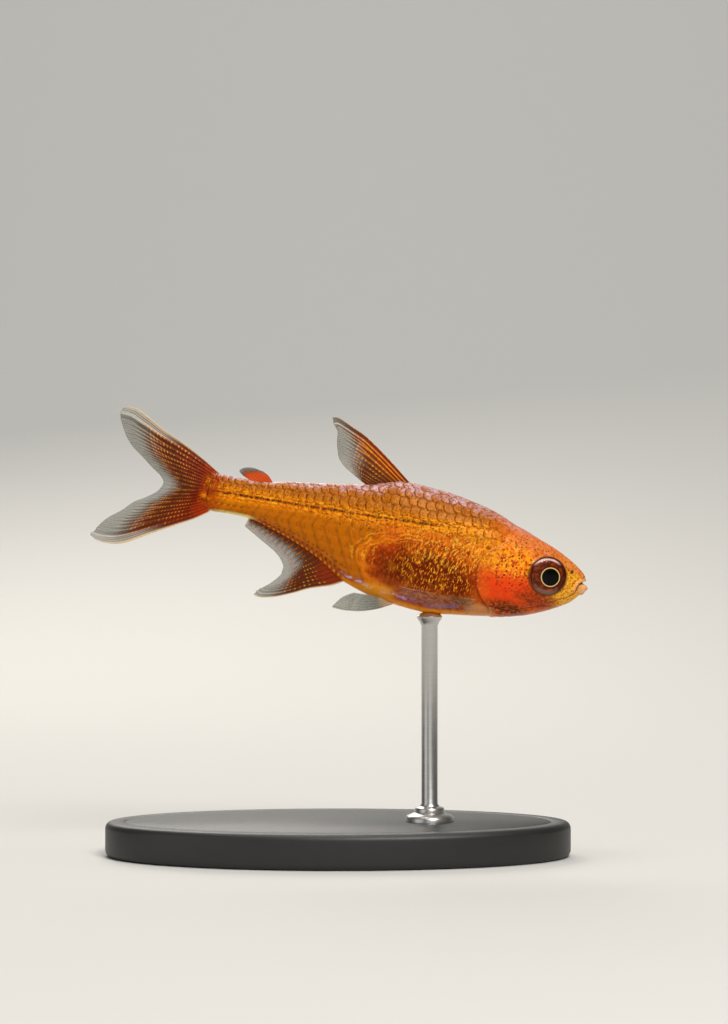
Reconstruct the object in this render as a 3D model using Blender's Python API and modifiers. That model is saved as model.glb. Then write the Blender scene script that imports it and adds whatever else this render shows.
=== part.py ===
"""Ember tetra, a life-size still model of a small orange aquarium fish on a display stand.

Metres, +Z up. The origin is the middle of the stand's underside and the head points to +X.
The fish has a frame of its own: along runs back from the tip of the snout, up towards the
back, and side towards the fish's left. Its outlines are written in percent of the standard
length, the length from the snout to the root of the tail fin.
"""

import math

import bmesh
import bpy
from mathutils import Matrix, Vector

MM = 0.001

# Driving sizes
STANDARD_LENGTH = 20.0 * MM
HEAD_DOWN = math.radians(13.5)
SNOUT_X = 12.77 * MM
SNOUT_Z = 14.15 * MM
GAP = 0.3 * MM
PERCENT = STANDARD_LENGTH / 100

# The body's sections: place along, back, belly, half width, widest level, and how round
# the lower half is, where 2 is an ellipse and less is more like a keel
SECTIONS = (
    (0.0, 0.1, -0.5, 0.0, -0.25, 2.1),
    (2.5, 2.95, -6.0, 2.9, -1.5, 2.1),
    (5.0, 4.4, -7.85, 4.25, -1.75, 2.1),
    (10.0, 6.55, -10.7, 5.85, -2.0, 2.1),
    (15.0, 8.15, -12.85, 6.8, -2.0, 2.1),
    (20.0, 9.95, -14.3, 7.35, -1.75, 2.1),
    (30.0, 13.0, -16.35, 7.8, -1.0, 2.1),
    (40.0, 14.3, -17.8, 7.6, -0.5, 2.1),
    (50.0, 14.5, -17.3, 7.0, 0.0, 1.95),
    (60.0, 11.6, -15.1, 5.9, 0.3, 1.7),
    (70.0, 9.3, -10.15, 4.75, 1.0, 1.55),
    (80.0, 7.4, -6.7, 3.65, 0.75, 1.6),
    (90.0, 5.45, -4.65, 2.6, 0.4, 1.8),
    (98.5, 5.3, -5.2, 1.5, 0.0, 2.0),
)
BACK_ROUNDNESS = 1.95
NOSE_TIP = -0.4
RINGS = 40
RING_POINTS = 28

# Cuts seen from the side, each the middle line of a gap
NECK_CUT = ((18.0, 18.0), (19.5, 7.5), (23.0, 4.4), (26.6, 1.5), (28.1, -2.5), (27.9, -6.0),
            (26.0, -9.8), (23.0, -12.5), (21.0, -20.0))
STALK_CUT = ((91.6, 12.0), (90.9, 5.0), (89.2, -3.0), (88.6, -12.0))
MOUTH_CUT = ((-4.0, 1.9), (0.3, 0.0), (1.6, -1.6), (2.7, -3.7), (5.5, -5.7), (8.2, -7.3),
             (9.8, -14.0))
COVER_FRONT = ((18.2, -10.2), (16.4, -6.8), (15.8, -3.0), (16.6, 0.8), (18.6, 3.6))
COVER_REAR_FROM, COVER_REAR_TO = 0.24, 0.76
COVER_INNER_SIDE = 0.8 * MM
CUTTER_REACH = 5.0 * MM

# Eyes, nostrils and lips
EYE_PLACE = (9.85, -1.1)
EYE_SIDE = 0.84 * MM
EYE_RADIUS = 1.0 * MM
EYE_DEPTH = 0.50 * MM
SOCKET_GAP = 0.26 * MM
NOSTRILS = ((3.7, 1.9, 0.12 * MM), (5.0, 1.5, 0.10 * MM))
LIP_RADIUS = 0.10 * MM
LIP_STEPS = (3.3, 2.7, 2.0, 1.4, 0.9)

# Fins
FIN_THICKNESS = 0.5 * MM
RAY_RELIEF = 0.10 * MM
RAY_HALF_WIDTH = 0.24
RAYS_RISE_BY = 0.25
TAPER_FROM = 0.62
TIP_SHARE = 0.45

# Stand
BASE_SIZE = (24.0 * MM, 13.0 * MM, 1.8 * MM)
BASE_EDGE = 0.35 * MM
BASE_SIDES = 64
ROD_STATION = 37.3
ROD_RADIUS = 0.45 * MM
ROD_FOOT = (1.3 * MM, 0.5 * MM)
ROD_PAD = (0.8 * MM, 0.35 * MM)

# Colour, roughness and metallic value of each finish
FINISHES = {
    "flesh": ((0.80, 0.26, 0.03), 0.38, 0.0),
    "gill_cover": ((0.82, 0.17, 0.03), 0.32, 0.0),
    "fin": ((0.55, 0.17, 0.05), 0.35, 0.0),
    "eye": ((0.05, 0.02, 0.012), 0.08, 0.0),
    "stand_base": ((0.03, 0.028, 0.026), 0.40, 0.0),
    "stand_metal": ((0.62, 0.60, 0.57), 0.28, 1.0),
}


def clear_scene():
    """Removes whatever the scene holds."""
    for obj in list(bpy.data.objects):
        bpy.data.objects.remove(obj)


def collection_of(name):
    """A new collection in the scene."""
    made = bpy.data.collections.new(name)
    bpy.context.scene.collection.children.link(made)
    return made


def finish_of(name):
    """The material of a finish, made once."""
    if name in bpy.data.materials:
        return bpy.data.materials[name]
    colour, roughness, metallic = FINISHES[name]
    material = bpy.data.materials.new(name)
    material.use_nodes = True
    shader = material.node_tree.nodes["Principled BSDF"]
    shader.inputs["Base Color"].default_value = (*colour, 1.0)
    shader.inputs["Roughness"].default_value = roughness
    shader.inputs["Metallic"].default_value = metallic
    return material


def smooth_curve(xs, ys):
    """A smooth curve through the points that never overshoots them, as a function of x."""
    steps = [b - a for a, b in zip(xs, xs[1:])]
    slopes = [(b - a) / step for a, b, step in zip(ys, ys[1:], steps)]
    tangents = [slopes[0]]
    for before, after in zip(slopes, slopes[1:]):
        flat = before * after <= 0
        tangents.append(0.0 if flat else 2 * before * after / (before + after))
    tangents.append(slopes[-1])

    def value(x):
        i = 0
        while i < len(steps) - 1 and x > xs[i + 1]:
            i += 1
        t = (x - xs[i]) / steps[i]
        rise = ys[i] * (2 * t**3 - 3 * t**2 + 1) + ys[i + 1] * (3 * t**2 - 2 * t**3)
        bend = tangents[i] * (t**3 - 2 * t**2 + t) + tangents[i + 1] * (t**3 - t**2)
        return rise + bend * steps[i]

    return value


def smooth_path(points, count):
    """Points evenly spread, by share of its length, along a smooth path through the given points."""
    places = [0.0]
    for a, b in zip(points, points[1:]):
        places.append(places[-1] + math.dist(a, b))
    curves = [smooth_curve(places, values) for values in zip(*points)]
    wanted = [places[-1] * i / (count - 1) for i in range(count)]
    return [tuple(curve(place) for curve in curves) for place in wanted]


def section_curves():
    """The five section measures as functions of the place along, in percent.

    They run over the square root of the place, which rounds the blunt snout.
    """
    rows = [(math.sqrt(row[0]), *row[1:]) for row in SECTIONS]
    columns = list(zip(*rows))
    return [smooth_curve(columns[0], column) for column in columns[1:]]


SECTION_CURVES = section_curves()


def section_at(along):
    """Back, belly, half width, widest level and lower roundness at a place along."""
    return [curve(math.sqrt(max(along, 0.0))) for curve in SECTION_CURVES]


def back_at(along):
    """Height of the back's outline, in percent."""
    return section_at(along)[0]


def belly_at(along):
    """Height of the belly's outline, in percent."""
    return section_at(along)[1]


def skin_point(along, angle):
    """The skin's (up, side) at an angle round the section: 0 at the back, pi at the belly."""
    back, belly, half_width, widest, roundness = section_at(along)
    above = math.cos(angle) >= 0
    power = 2 / (BACK_ROUNDNESS if above else roundness)
    side = half_width * abs(math.sin(angle)) ** power
    rise = abs(math.cos(angle)) ** power
    up = widest + (back - widest) * rise if above else widest - (widest - belly) * rise
    return up, math.copysign(side, math.sin(angle))


def skin_side(along, up):
    """Half width of the body at a place and height, in percent."""
    back, belly, half_width, widest, roundness = section_at(along)
    above = up >= widest
    power = BACK_ROUNDNESS if above else roundness
    reach = back - widest if above else widest - belly
    share = min(abs(up - widest) / reach, 1.0)
    return half_width * (1 - share**power) ** (1 / power)


def world(along, up, side=0.0):
    """World point of a place in the fish's own frame, all in metres."""
    forward = Vector((math.cos(HEAD_DOWN), 0.0, -math.sin(HEAD_DOWN)))
    upward = Vector((math.sin(HEAD_DOWN), 0.0, math.cos(HEAD_DOWN)))
    snout = Vector((SNOUT_X, 0.0, SNOUT_Z))
    return snout - forward * along + upward * up + Vector((0.0, side, 0.0))


def side_view_matrix(side):
    """Places local (x, y) as (forward, up) on the plane at this side of the fish."""
    forward = world(-1.0, 0.0) - world(0.0, 0.0)
    upward = world(0.0, 1.0) - world(0.0, 0.0)
    turn = Matrix((forward, upward, forward.cross(upward))).transposed().to_4x4()
    return Matrix.Translation(world(0.0, 0.0, side)) @ turn


def new_node(name, mesh, finish, collection, smooth=True):
    """An object of this mesh with its finish."""
    obj = bpy.data.objects.new(name, mesh)
    collection.objects.link(obj)
    mesh.materials.clear()
    mesh.materials.append(finish_of(finish))
    if smooth:
        mesh.shade_smooth()
        mesh.set_sharp_from_angle(angle=math.radians(40))
    return obj


def face_outwards(bm):
    """Turns every face of a closed mesh outwards."""
    bmesh.ops.recalc_face_normals(bm, faces=bm.faces)
    if bm.calc_volume(signed=True) < 0:
        bmesh.ops.reverse_faces(bm, faces=bm.faces)


def as_mesh(obj):
    """A curve object made a closed mesh object in the same place."""
    bpy.context.view_layer.update()
    graph = bpy.context.evaluated_depsgraph_get()
    mesh = bpy.data.meshes.new_from_object(obj.evaluated_get(graph))
    made = bpy.data.objects.new(obj.name + "_mesh", mesh)
    made.matrix_world = obj.matrix_world.copy()
    bm = bmesh.new()
    bm.from_mesh(mesh)
    bmesh.ops.remove_doubles(bm, verts=bm.verts, dist=0.00001 * MM)
    face_outwards(bm)
    bm.to_mesh(mesh)
    bm.free()
    obj.users_collection[0].objects.link(made)
    bpy.data.objects.remove(obj)
    return made


def as_cutter(obj):
    """Leaves a helper out of the model."""
    obj.hide_render = True
    obj.display_type = "WIRE"
    return obj


def side_plate(name, outline, from_side, to_side, collection):
    """A cutter: a flat outline in percent, seen from the side, that spans these sides."""
    curve = bpy.data.curves.new(name, "CURVE")
    curve.dimensions = "2D"
    curve.fill_mode = "BOTH"
    curve.extrude = abs(to_side - from_side) / 2
    spline = curve.splines.new("POLY")
    spline.points.add(len(outline) - 1)
    for point, (along, up) in zip(spline.points, outline):
        point.co = (-along * PERCENT, up * PERCENT, 0.0, 1.0)
    spline.use_cyclic_u = True
    obj = bpy.data.objects.new(name, curve)
    collection.objects.link(obj)
    obj.matrix_world = side_view_matrix((from_side + to_side) / 2)
    return as_cutter(as_mesh(obj))


def ball(name, centre, radii, sides, rings, collection):
    """A ball squashed along the fish's own axes: radii along, up and to the side."""
    bm = bmesh.new()
    bmesh.ops.create_uvsphere(bm, u_segments=sides, v_segments=rings, radius=1.0)
    along, up, side = centre
    for vert in bm.verts:
        x, y, z = vert.co
        vert.co = world(along - x * radii[0], up + y * radii[1], side + z * radii[2])
    face_outwards(bm)
    mesh = bpy.data.meshes.new(name)
    bm.to_mesh(mesh)
    bm.free()
    obj = bpy.data.objects.new(name, mesh)
    collection.objects.link(obj)
    return obj


def carve(obj, operation, other, solver="EXACT"):
    """Adds a Boolean with one other object."""
    modifier = obj.modifiers.new(operation.title(), "BOOLEAN")
    modifier.operation = operation
    modifier.solver = solver
    modifier.object = other


def body_mesh(name):
    """The whole body from snout to tail root, lofted through its sections."""
    bm = bmesh.new()
    nose = bm.verts.new(world(NOSE_TIP * PERCENT, section_at(0.0)[3] * PERCENT))
    last = math.sqrt(SECTIONS[-1][0])
    rings = []
    for i in range(1, RINGS + 1):
        along = (last * i / RINGS) ** 2
        ring = []
        for j in range(RING_POINTS):
            up, side = skin_point(along, 2 * math.pi * j / RING_POINTS)
            ring.append(bm.verts.new(world(along * PERCENT, up * PERCENT, side * PERCENT)))
        rings.append(ring)
    for j in range(RING_POINTS):
        k = (j + 1) % RING_POINTS
        bm.faces.new((nose, rings[0][j], rings[0][k]))
        for near, far in zip(rings, rings[1:]):
            bm.faces.new((near[j], far[j], far[k], near[k]))
    bm.faces.new(rings[-1])
    face_outwards(bm)
    mesh = bpy.data.meshes.new(name)
    bm.to_mesh(mesh)
    bm.free()
    return mesh


def shifted(path, distance):
    """A side-view path moved to its left, seen along it with up upwards, by a distance in percent."""
    moved = []
    for i, (along, up) in enumerate(path):
        before, after = path[max(i - 1, 0)], path[min(i + 1, len(path) - 1)]
        run, rise = after[0] - before[0], after[1] - before[1]
        length = math.hypot(run, rise)
        moved.append((along + distance * rise / length, up - distance * run / length))
    return moved


def grown(outline, distance):
    """A closed outline moved outwards by a distance in percent."""
    area = sum(a[0] * b[1] - b[0] * a[1] for a, b in zip(outline, outline[1:] + outline[:1]))
    outwards = math.copysign(distance, area)
    moved = []
    for i, (along, up) in enumerate(outline):
        before, after = outline[i - 1], outline[(i + 1) % len(outline)]
        run, rise = after[0] - before[0], after[1] - before[1]
        length = math.hypot(run, rise)
        moved.append((along + outwards * rise / length, up - outwards * run / length))
    return moved


def flesh_nodes(parts, cutters):
    """Head, lower jaw, gill covers, trunk and tail stalk, parted from one body by thin cuts."""
    half_gap = GAP / PERCENT / 2
    ahead, behind, high, low = -10.0, 110.0, 30.0, -30.0
    neck = smooth_path(NECK_CUT, 25)
    stalk = smooth_path(STALK_CUT, 7)
    mouth = list(MOUTH_CUT)
    wide = (-CUTTER_REACH, CUTTER_REACH)

    head_side = shifted(neck, half_gap)
    trunk_side = shifted(neck, -half_gap)
    if head_side[12][0] > trunk_side[12][0]:
        head_side, trunk_side = trunk_side, head_side
    front_box = [(ahead, low), (ahead, high)] + head_side
    front = side_plate("front_region", front_box, *wide, cutters)

    trunk_end, stalk_start = shifted(stalk, half_gap), shifted(stalk, -half_gap)
    if trunk_end[3][0] > stalk_start[3][0]:
        trunk_end, stalk_start = stalk_start, trunk_end
    middle = side_plate("middle_region", trunk_side + trunk_end[::-1], *wide, cutters)
    rear = side_plate("rear_region", stalk_start + [(behind, low), (behind, high)], *wide, cutters)

    above, below = shifted(mouth, half_gap), shifted(mouth, -half_gap)
    if above[2][1] < below[2][1]:
        above, below = below, above
    jaw_box = [(ahead, low), (ahead, below[0][1])]
    jaw = side_plate("jaw_region", jaw_box + below, *wide, cutters)
    mouth_box = [(ahead, low), (ahead, above[0][1])]
    mouth_room = side_plate("mouth_room", mouth_box + above, *wide, cutters)

    first = round(COVER_REAR_FROM * (len(neck) - 1))
    last = round(COVER_REAR_TO * (len(neck) - 1))
    cover = head_side[first : last + 1] + smooth_path(COVER_FRONT, 9)
    recess = grown(cover, GAP / PERCENT)

    head = new_node("head", body_mesh("head"), "flesh", parts)
    carve(head, "INTERSECT", front)
    carve(head, "DIFFERENCE", mouth_room)
    lower_jaw = new_node("lower_jaw", body_mesh("lower_jaw"), "flesh", parts)
    carve(lower_jaw, "INTERSECT", jaw)
    carve(lower_jaw, "UNION", lip("lower_lip", below, -1, cutters), "MANIFOLD")
    trunk = new_node("trunk", body_mesh("trunk"), "flesh", parts)
    carve(trunk, "INTERSECT", middle)
    tail_stalk = new_node("tail_stalk", body_mesh("tail_stalk"), "flesh", parts)
    carve(tail_stalk, "INTERSECT", rear)

    for hand, sign in (("right", -1), ("left", 1)):
        inner, outer = sign * COVER_INNER_SIDE, sign * CUTTER_REACH
        cover_name = f"gill_cover_{hand}"
        plate = new_node(cover_name, body_mesh(cover_name), "gill_cover", parts)
        carve(plate, "INTERSECT", side_plate(f"cover_{hand}", cover, inner, outer, cutters))
        deeper = sign * (COVER_INNER_SIDE - GAP)
        carve(head, "DIFFERENCE", side_plate(f"recess_{hand}", recess, deeper, outer, cutters))
        socket_radii = (EYE_RADIUS + SOCKET_GAP, EYE_RADIUS + SOCKET_GAP, EYE_DEPTH + SOCKET_GAP)
        socket = ball(f"socket_{hand}", eye_centre(sign), socket_radii, 24, 16, cutters)
        carve(head, "DIFFERENCE", as_cutter(socket))
        for i, (along, up, radius) in enumerate(NOSTRILS):
            place = (along * PERCENT, up * PERCENT, sign * skin_side(along, up) * PERCENT)
            pit = ball(f"nostril_{hand}_{i}", place, (radius,) * 3, 10, 8, cutters)
            carve(head, "DIFFERENCE", as_cutter(pit))
    carve(head, "UNION", lip("upper_lip", above, 1, cutters), "MANIFOLD")


def front_at(up):
    """The place along at which the snout begins at this height, in percent."""
    along = 0.0
    while not belly_at(along) < up < back_at(along):
        along += 0.02
    return along


def lip(name, edge, upward, cutters):
    """The rounded rim of one jaw: a tapering tube sunk in the skin along the edge of the mouth."""
    level = smooth_curve([p[0] for p in edge], [p[1] for p in edge])
    radius = LIP_RADIUS / PERCENT
    right = []
    for along in LIP_STEPS:
        up = level(along) + upward * radius * 0.9
        right.append((along, up, -(skin_side(along, up) - 0.35 * radius)))
    up = level(LIP_STEPS[-1]) + upward * radius * 0.9
    front = (front_at(up) + 0.35 * radius, up, 0.0)
    route = right + [front] + [(a, u, -s) for a, u, s in reversed(right)]
    curve = bpy.data.curves.new(name, "CURVE")
    curve.dimensions = "3D"
    curve.bevel_depth = LIP_RADIUS
    curve.bevel_resolution = 2
    curve.use_fill_caps = True
    points = smooth_path(route, 21)
    spline = curve.splines.new("POLY")
    spline.points.add(len(points) - 1)
    for i, (point, place) in enumerate(zip(spline.points, points)):
        point.co = (*world(*(PERCENT * value for value in place)), 1.0)
        point.radius = 0.45 + 0.55 * math.sin(math.pi * i / (len(points) - 1))
    obj = bpy.data.objects.new(name, curve)
    cutters.objects.link(obj)
    return as_cutter(as_mesh(obj))


def eye_centre(sign):
    """Middle of an eyeball, for the right (-1) or the left (1) side."""
    along, up = EYE_PLACE
    return along * PERCENT, up * PERCENT, sign * EYE_SIDE


def eye_nodes(parts):
    """Two eyeballs, flattened to the side as in life."""
    for hand, sign in (("right", -1), ("left", 1)):
        radii = (EYE_RADIUS, EYE_RADIUS, EYE_DEPTH)
        obj = ball(f"eye_{hand}", eye_centre(sign), radii, 22, 14, parts)
        obj.data.materials.append(finish_of("eye"))
        obj.data.shade_smooth()


def ray_columns(rays):
    """Places across a fin, each (place, crest): a crest for each ray with a valley at either side."""
    columns = []
    for i in range(rays):
        for offset in (-RAY_HALF_WIDTH, 0.0, RAY_HALF_WIDTH):
            place = (i + offset) / (rays - 1)
            if -1e-9 <= place <= 1 + 1e-9:
                columns.append((place, offset == 0.0))
    return columns


def fin_node(name, place, columns, rows, relief, finish, parts):
    """A fin: a grid along and across its rays, thickened, with a ridge for each ray.

    place(u, v) is the world point at a share u from root to tip and v from front to rear.
    """
    bm = bmesh.new()
    across = len(columns) - 1
    bmesh.ops.create_grid(bm, x_segments=across, y_segments=rows, size=0.5)
    group_layer = bm.verts.layers.deform.verify()
    fullest = FIN_THICKNESS + 2 * relief
    for vert in bm.verts:
        column = round((vert.co.x + 0.5) * across)
        u = min(max(vert.co.y + 0.5, 0.0), 1.0)
        v, crest = columns[column]
        thin = max(0.0, (u - TAPER_FROM) / (1 - TAPER_FROM))
        membrane = FIN_THICKNESS * (1 - (1 - TIP_SHARE) * thin**1.5)
        ridge = 2 * relief * (1 - 0.6 * u) * min(u / RAYS_RISE_BY, 1.0) if crest else 0.0
        vert[group_layer][0] = (membrane + ridge) / fullest
        vert.co = place(u, v)
    bmesh.ops.triangulate(bm, faces=bm.faces)
    mesh = bpy.data.meshes.new(name)
    bm.to_mesh(mesh)
    bm.free()
    obj = new_node(name, mesh, finish, parts, smooth=False)
    obj.vertex_groups.new(name="thickness")
    solidify = obj.modifiers.new("Thickness", "SOLIDIFY")
    solidify.thickness = fullest
    solidify.offset = 0.0
    solidify.vertex_group = "thickness"
    solidify.use_even_offset = False
    return obj


def fin_outline(root, margin, leading):
    """The side view of a fin, in percent, as a function of u and v.

    u runs from root to tip and v from front to rear. leading holds the points that the
    front edge passes through between the root and the tip.
    """
    finest = 200
    edge = (root[0], *leading, margin[0])
    root_line, margin_line, edge_line = (smooth_path(line, finest + 1) for line in (root, margin, edge))

    def place(u, v):
        i, j = (min(max(round(share * finest), 0), finest) for share in (v, u))
        found = []
        for k in (0, 1):
            straight = edge[0][k] + (edge[-1][k] - edge[0][k]) * u
            bend = (edge_line[j][k] - straight) * (1 - v) ** 1.6
            found.append(root_line[i][k] + (margin_line[i][k] - root_line[i][k]) * u + bend)
        return found

    return place


def flat_fin(name, outline, rays, rows, parts, sway=0.0, relief=RAY_RELIEF):
    """A fin on the fish's middle plane, whose tips lean to the left by sway, in percent."""

    def place(u, v):
        along, up = outline(u, v)
        return world(along * PERCENT, up * PERCENT, sway * u * u * PERCENT)

    return fin_node(name, place, ray_columns(rays), rows, relief, "fin", parts)


def median_fins(parts):
    """Dorsal, adipose, tail and anal fins."""
    gap = GAP / PERCENT
    root = [(a, back_at(a) + gap * 1.02) for a in (49.9, 53.5, 57.0, 60.7)]
    leading = ((56.7, 19.1), (61.5, 21.9), (64.4, 23.5), (67.75, 24.8), (70.2, 25.75), (72.3, 26.3))
    margin = ((73.5, 25.9), (72.8, 24.4), (71.3, 22.4), (70.9, 20.3), (70.15, 17.8), (69.3, 16.0),
              (67.5, 14.5), (65.5, 13.7), (63.2, 13.1))
    flat_fin("dorsal_fin", fin_outline(root, margin, leading), 11, 8, parts)

    root = [(a, back_at(a) + gap * 1.02) for a in (84.8, 87.4, 90.0)]
    margin = ((88.0, 8.3), (90.2, 8.6), (92.4, 8.1), (93.5, 7.0), (92.3, 6.4))
    leading = ((86.4, 7.9),)
    flat_fin("adipose_fin", fin_outline(root, margin, leading), 5, 5, parts, relief=0.0)

    stem = 98.5 + gap * 1.02
    root = ((stem, 5.3), (stem, 3.8), (stem, 2.2), (stem, 0.8))
    leading = ((103.3, 7.7), (109.0, 10.3), (114.8, 12.6), (119.65, 14.9), (123.3, 16.3))
    margin = ((125.7, 16.4), (127.1, 15.2), (127.1, 14.1), (125.9, 11.4), (124.4, 9.1), (122.2, 6.8),
              (118.5, 4.4), (115.7, 2.5), (113.0, 0.8), (112.1, -0.1))
    flat_fin("caudal_fin_upper", fin_outline(root, margin, leading), 11, 10, parts, sway=2.2)
    root = ((stem, -5.3), (stem, -3.8), (stem, -2.2), (stem, -0.8))
    leading = ((101.5, -7.6), (105.15, -9.95), (108.7, -12.1), (112.2, -14.3), (115.4, -16.4),
               (117.9, -17.9), (120.55, -18.9), (123.5, -19.2))
    margin = ((125.8, -18.9), (127.5, -18.0), (126.7, -17.0), (125.7, -15.1), (123.9, -12.75),
              (121.0, -10.2), (118.1, -7.1), (115.3, -5.2), (112.8, -2.9), (112.2, -1.8))
    flat_fin("caudal_fin_lower", fin_outline(root, margin, leading), 10, 10, parts, sway=2.2)

    root = [(a, belly_at(a) - gap * 1.12) for a in (62.6, 67.0, 72.0, 78.0, 83.0, 87.4)]
    leading = ((65.0, -16.8), (68.95, -18.5), (72.5, -20.5), (78.0, -22.9), (81.2, -23.6))
    margin = ((82.7, -23.3), (81.75, -21.75), (80.05, -20.35), (77.65, -17.75), (76.8, -16.15),
              (76.75, -14.7), (77.5, -13.25), (79.4, -11.6), (82.6, -10.3), (86.5, -8.9), (89.3, -7.4))
    flat_fin("anal_fin", fin_outline(root, margin, leading), 18, 7, parts)


def pelvic_fins(parts):
    """The pair under the belly, swept back and a little apart."""
    root_side, spread = 2.1, 1.7
    top = below_skin(51.4, root_side) - 1.25 * GAP / PERCENT
    root = ((50.2, top - 1.5), (50.7, top - 0.8), (51.4, top))
    leading = ((53.4, -20.7), (56.8, -21.3), (59.4, -21.7), (61.3, -21.8))
    margin = ((62.2, -21.6), (61.5, -20.5), (60.6, -19.4), (59.3, -18.5), (57.8, -18.1))
    outline = fin_outline(root, margin, leading)
    for hand, sign in (("right", -1), ("left", 1)):

        def place(u, v, sign=sign):
            along, up = outline(u, v)
            side = sign * (root_side + spread * u)
            return world(along * PERCENT, up * PERCENT, side * PERCENT)

        fin_node(f"pelvic_fin_{hand}", place, ray_columns(6), 6, RAY_RELIEF * 0.6, "fin", parts)


def below_skin(along, side):
    """Height of the lower skin at a place along and to the side, in percent."""
    _, belly, half_width, widest, roundness = section_at(along)
    share = min(side / half_width, 1.0)
    return widest - (widest - belly) * (1 - share**roundness) ** (1 / roundness)


def pectoral_fins(parts):
    """The pair behind the gill covers, folded back against the lower flank."""
    rays, rows = 9, 7
    margin = smooth_path(((46.2, -11.6), (44.4, -13.0), (40.4, -14.0), (35.4, -14.2)), 201)

    def half(sign):
        def place(u, v):
            root_along, root_up = 27.6 + 0.8 * v, -11.0 - 1.6 * v
            tip_along, tip_up = margin[min(round(200 * v), 200)]
            along = root_along + (tip_along - root_along) * u
            up = root_up + (tip_up - root_up) * u
            clear = (GAP + FIN_THICKNESS / 2 + RAY_RELIEF) / PERCENT + 0.4 * u
            return off_skin(along, up, clear, sign)

        return place

    for hand, sign in (("right", -1), ("left", 1)):
        name = f"pectoral_fin_{hand}"
        fin_node(name, half(sign), ray_columns(rays), rows, RAY_RELIEF * 0.8, "fin", parts)


def off_skin(along, up, clear, sign):
    """World point a distance out from the flank, square to it; all in percent."""
    step = 0.2
    here = Vector((along, up, skin_side(along, up)))
    back = Vector((along + step, up, skin_side(along + step, up))) - here
    rise = Vector((along, up + step, skin_side(along, up + step))) - here
    outwards = back.cross(rise).normalized()
    if outwards.z < 0:
        outwards.negate()
    place = here + outwards * clear
    return world(place.x * PERCENT, place.y * PERCENT, sign * place.z * PERCENT)


def stand_nodes(parts):
    """A flat oval base and one short rod with a pad under the belly."""
    length, width, height = BASE_SIZE
    bpy.ops.mesh.primitive_cylinder_add(vertices=BASE_SIDES, radius=0.5, depth=1.0)
    base = bpy.context.object
    base.name = base.data.name = "stand_base"
    base.data.transform(Matrix.Diagonal((length, width, height, 1.0)))
    base.data.transform(Matrix.Translation((0.0, 0.0, height / 2)))
    for collection in list(base.users_collection):
        collection.objects.unlink(base)
    parts.objects.link(base)
    base.data.materials.append(finish_of("stand_base"))
    base.data.shade_smooth()
    base.data.set_sharp_from_angle(angle=math.radians(40))
    bevel = base.modifiers.new("Edge", "BEVEL")
    bevel.width = BASE_EDGE
    bevel.segments = 2
    bevel.limit_method = "ANGLE"

    belly = world(ROD_STATION * PERCENT, belly_at(ROD_STATION) * PERCENT)
    top, bottom = belly.z - GAP, height + GAP
    foot_radius, foot_height = ROD_FOOT
    pad_radius, pad_height = ROD_PAD
    profile = (
        (0.0, top), (pad_radius, top), (pad_radius, top - pad_height * 0.3),
        (ROD_RADIUS, top - pad_height - 0.3 * MM), (ROD_RADIUS, bottom + foot_height + 0.2 * MM),
        (foot_radius * 0.8, bottom + foot_height), (foot_radius, bottom + foot_height * 0.6),
        (foot_radius, bottom), (0.0, bottom),
    )
    mesh = bpy.data.meshes.new("stand_rod")
    bm = bmesh.new()
    line = [bm.verts.new((radius, 0.0, z)) for radius, z in profile]
    for a, b in zip(line, line[1:]):
        bm.edges.new((a, b))
    bm.to_mesh(mesh)
    bm.free()
    rod = new_node("stand_rod", mesh, "stand_metal", parts)
    rod.location = (belly.x, 0.0, 0.0)
    screw = rod.modifiers.new("Turn", "SCREW")
    screw.steps = screw.render_steps = 24
    screw.use_merge_vertices = True
    screw.merge_threshold = 0.00001 * MM


def main():
    clear_scene()
    parts = collection_of("Ember tetra")
    cutters = collection_of("Cutters")
    flesh_nodes(parts, cutters)
    eye_nodes(parts)
    median_fins(parts)
    pelvic_fins(parts)
    pectoral_fins(parts)
    stand_nodes(parts)


main()
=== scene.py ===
"""A life-size ember tetra on a display stand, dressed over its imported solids.

The fish has a frame of its own, in millimetres: along runs back from the tip of the snout,
up towards the back, and side towards the fish's left.
"""

import logging
import math
import random
from collections.abc import Callable, Sequence
from dataclasses import dataclass, field
from enum import Enum
from functools import cached_property

import bmesh
import bpy
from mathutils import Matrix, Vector


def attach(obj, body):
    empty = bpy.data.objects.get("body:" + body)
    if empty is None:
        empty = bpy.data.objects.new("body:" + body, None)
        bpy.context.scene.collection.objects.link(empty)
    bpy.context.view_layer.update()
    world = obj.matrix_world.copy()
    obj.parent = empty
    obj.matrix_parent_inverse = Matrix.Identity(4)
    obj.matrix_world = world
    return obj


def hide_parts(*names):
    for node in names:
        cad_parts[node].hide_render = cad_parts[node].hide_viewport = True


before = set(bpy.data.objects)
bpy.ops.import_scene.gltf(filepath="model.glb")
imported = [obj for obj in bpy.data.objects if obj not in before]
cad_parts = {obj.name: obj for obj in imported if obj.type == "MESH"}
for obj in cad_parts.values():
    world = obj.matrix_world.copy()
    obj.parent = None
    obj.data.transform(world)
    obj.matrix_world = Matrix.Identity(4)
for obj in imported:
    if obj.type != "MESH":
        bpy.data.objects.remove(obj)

LOG = logging.getLogger("ember_tetra")
MM = 0.001
STANDARD_LENGTH = 20.0
PERCENT = STANDARD_LENGTH / 100
FAR_OFF = 99.0
SLANT = -0.23
SIDES = {"right": -1, "left": 1}
Colour = tuple[float, float, float]
Point = tuple[float, float]


def srgb(red: float, green: float, blue: float) -> Colour:
    """A display colour of 0 to 255 a channel as a linear one.

    Args:
        red: Red channel.
        green: Green channel.
        blue: Blue channel.

    Returns:
        The linear colour.
    """
    def linear(value: float) -> float:
        """One channel made linear."""
        share = value / 255
        return share / 12.92 if share <= 0.04045 else ((share + 0.055) / 1.055) ** 2.4
    return linear(red), linear(green), linear(blue)


# Curves and frame


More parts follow.
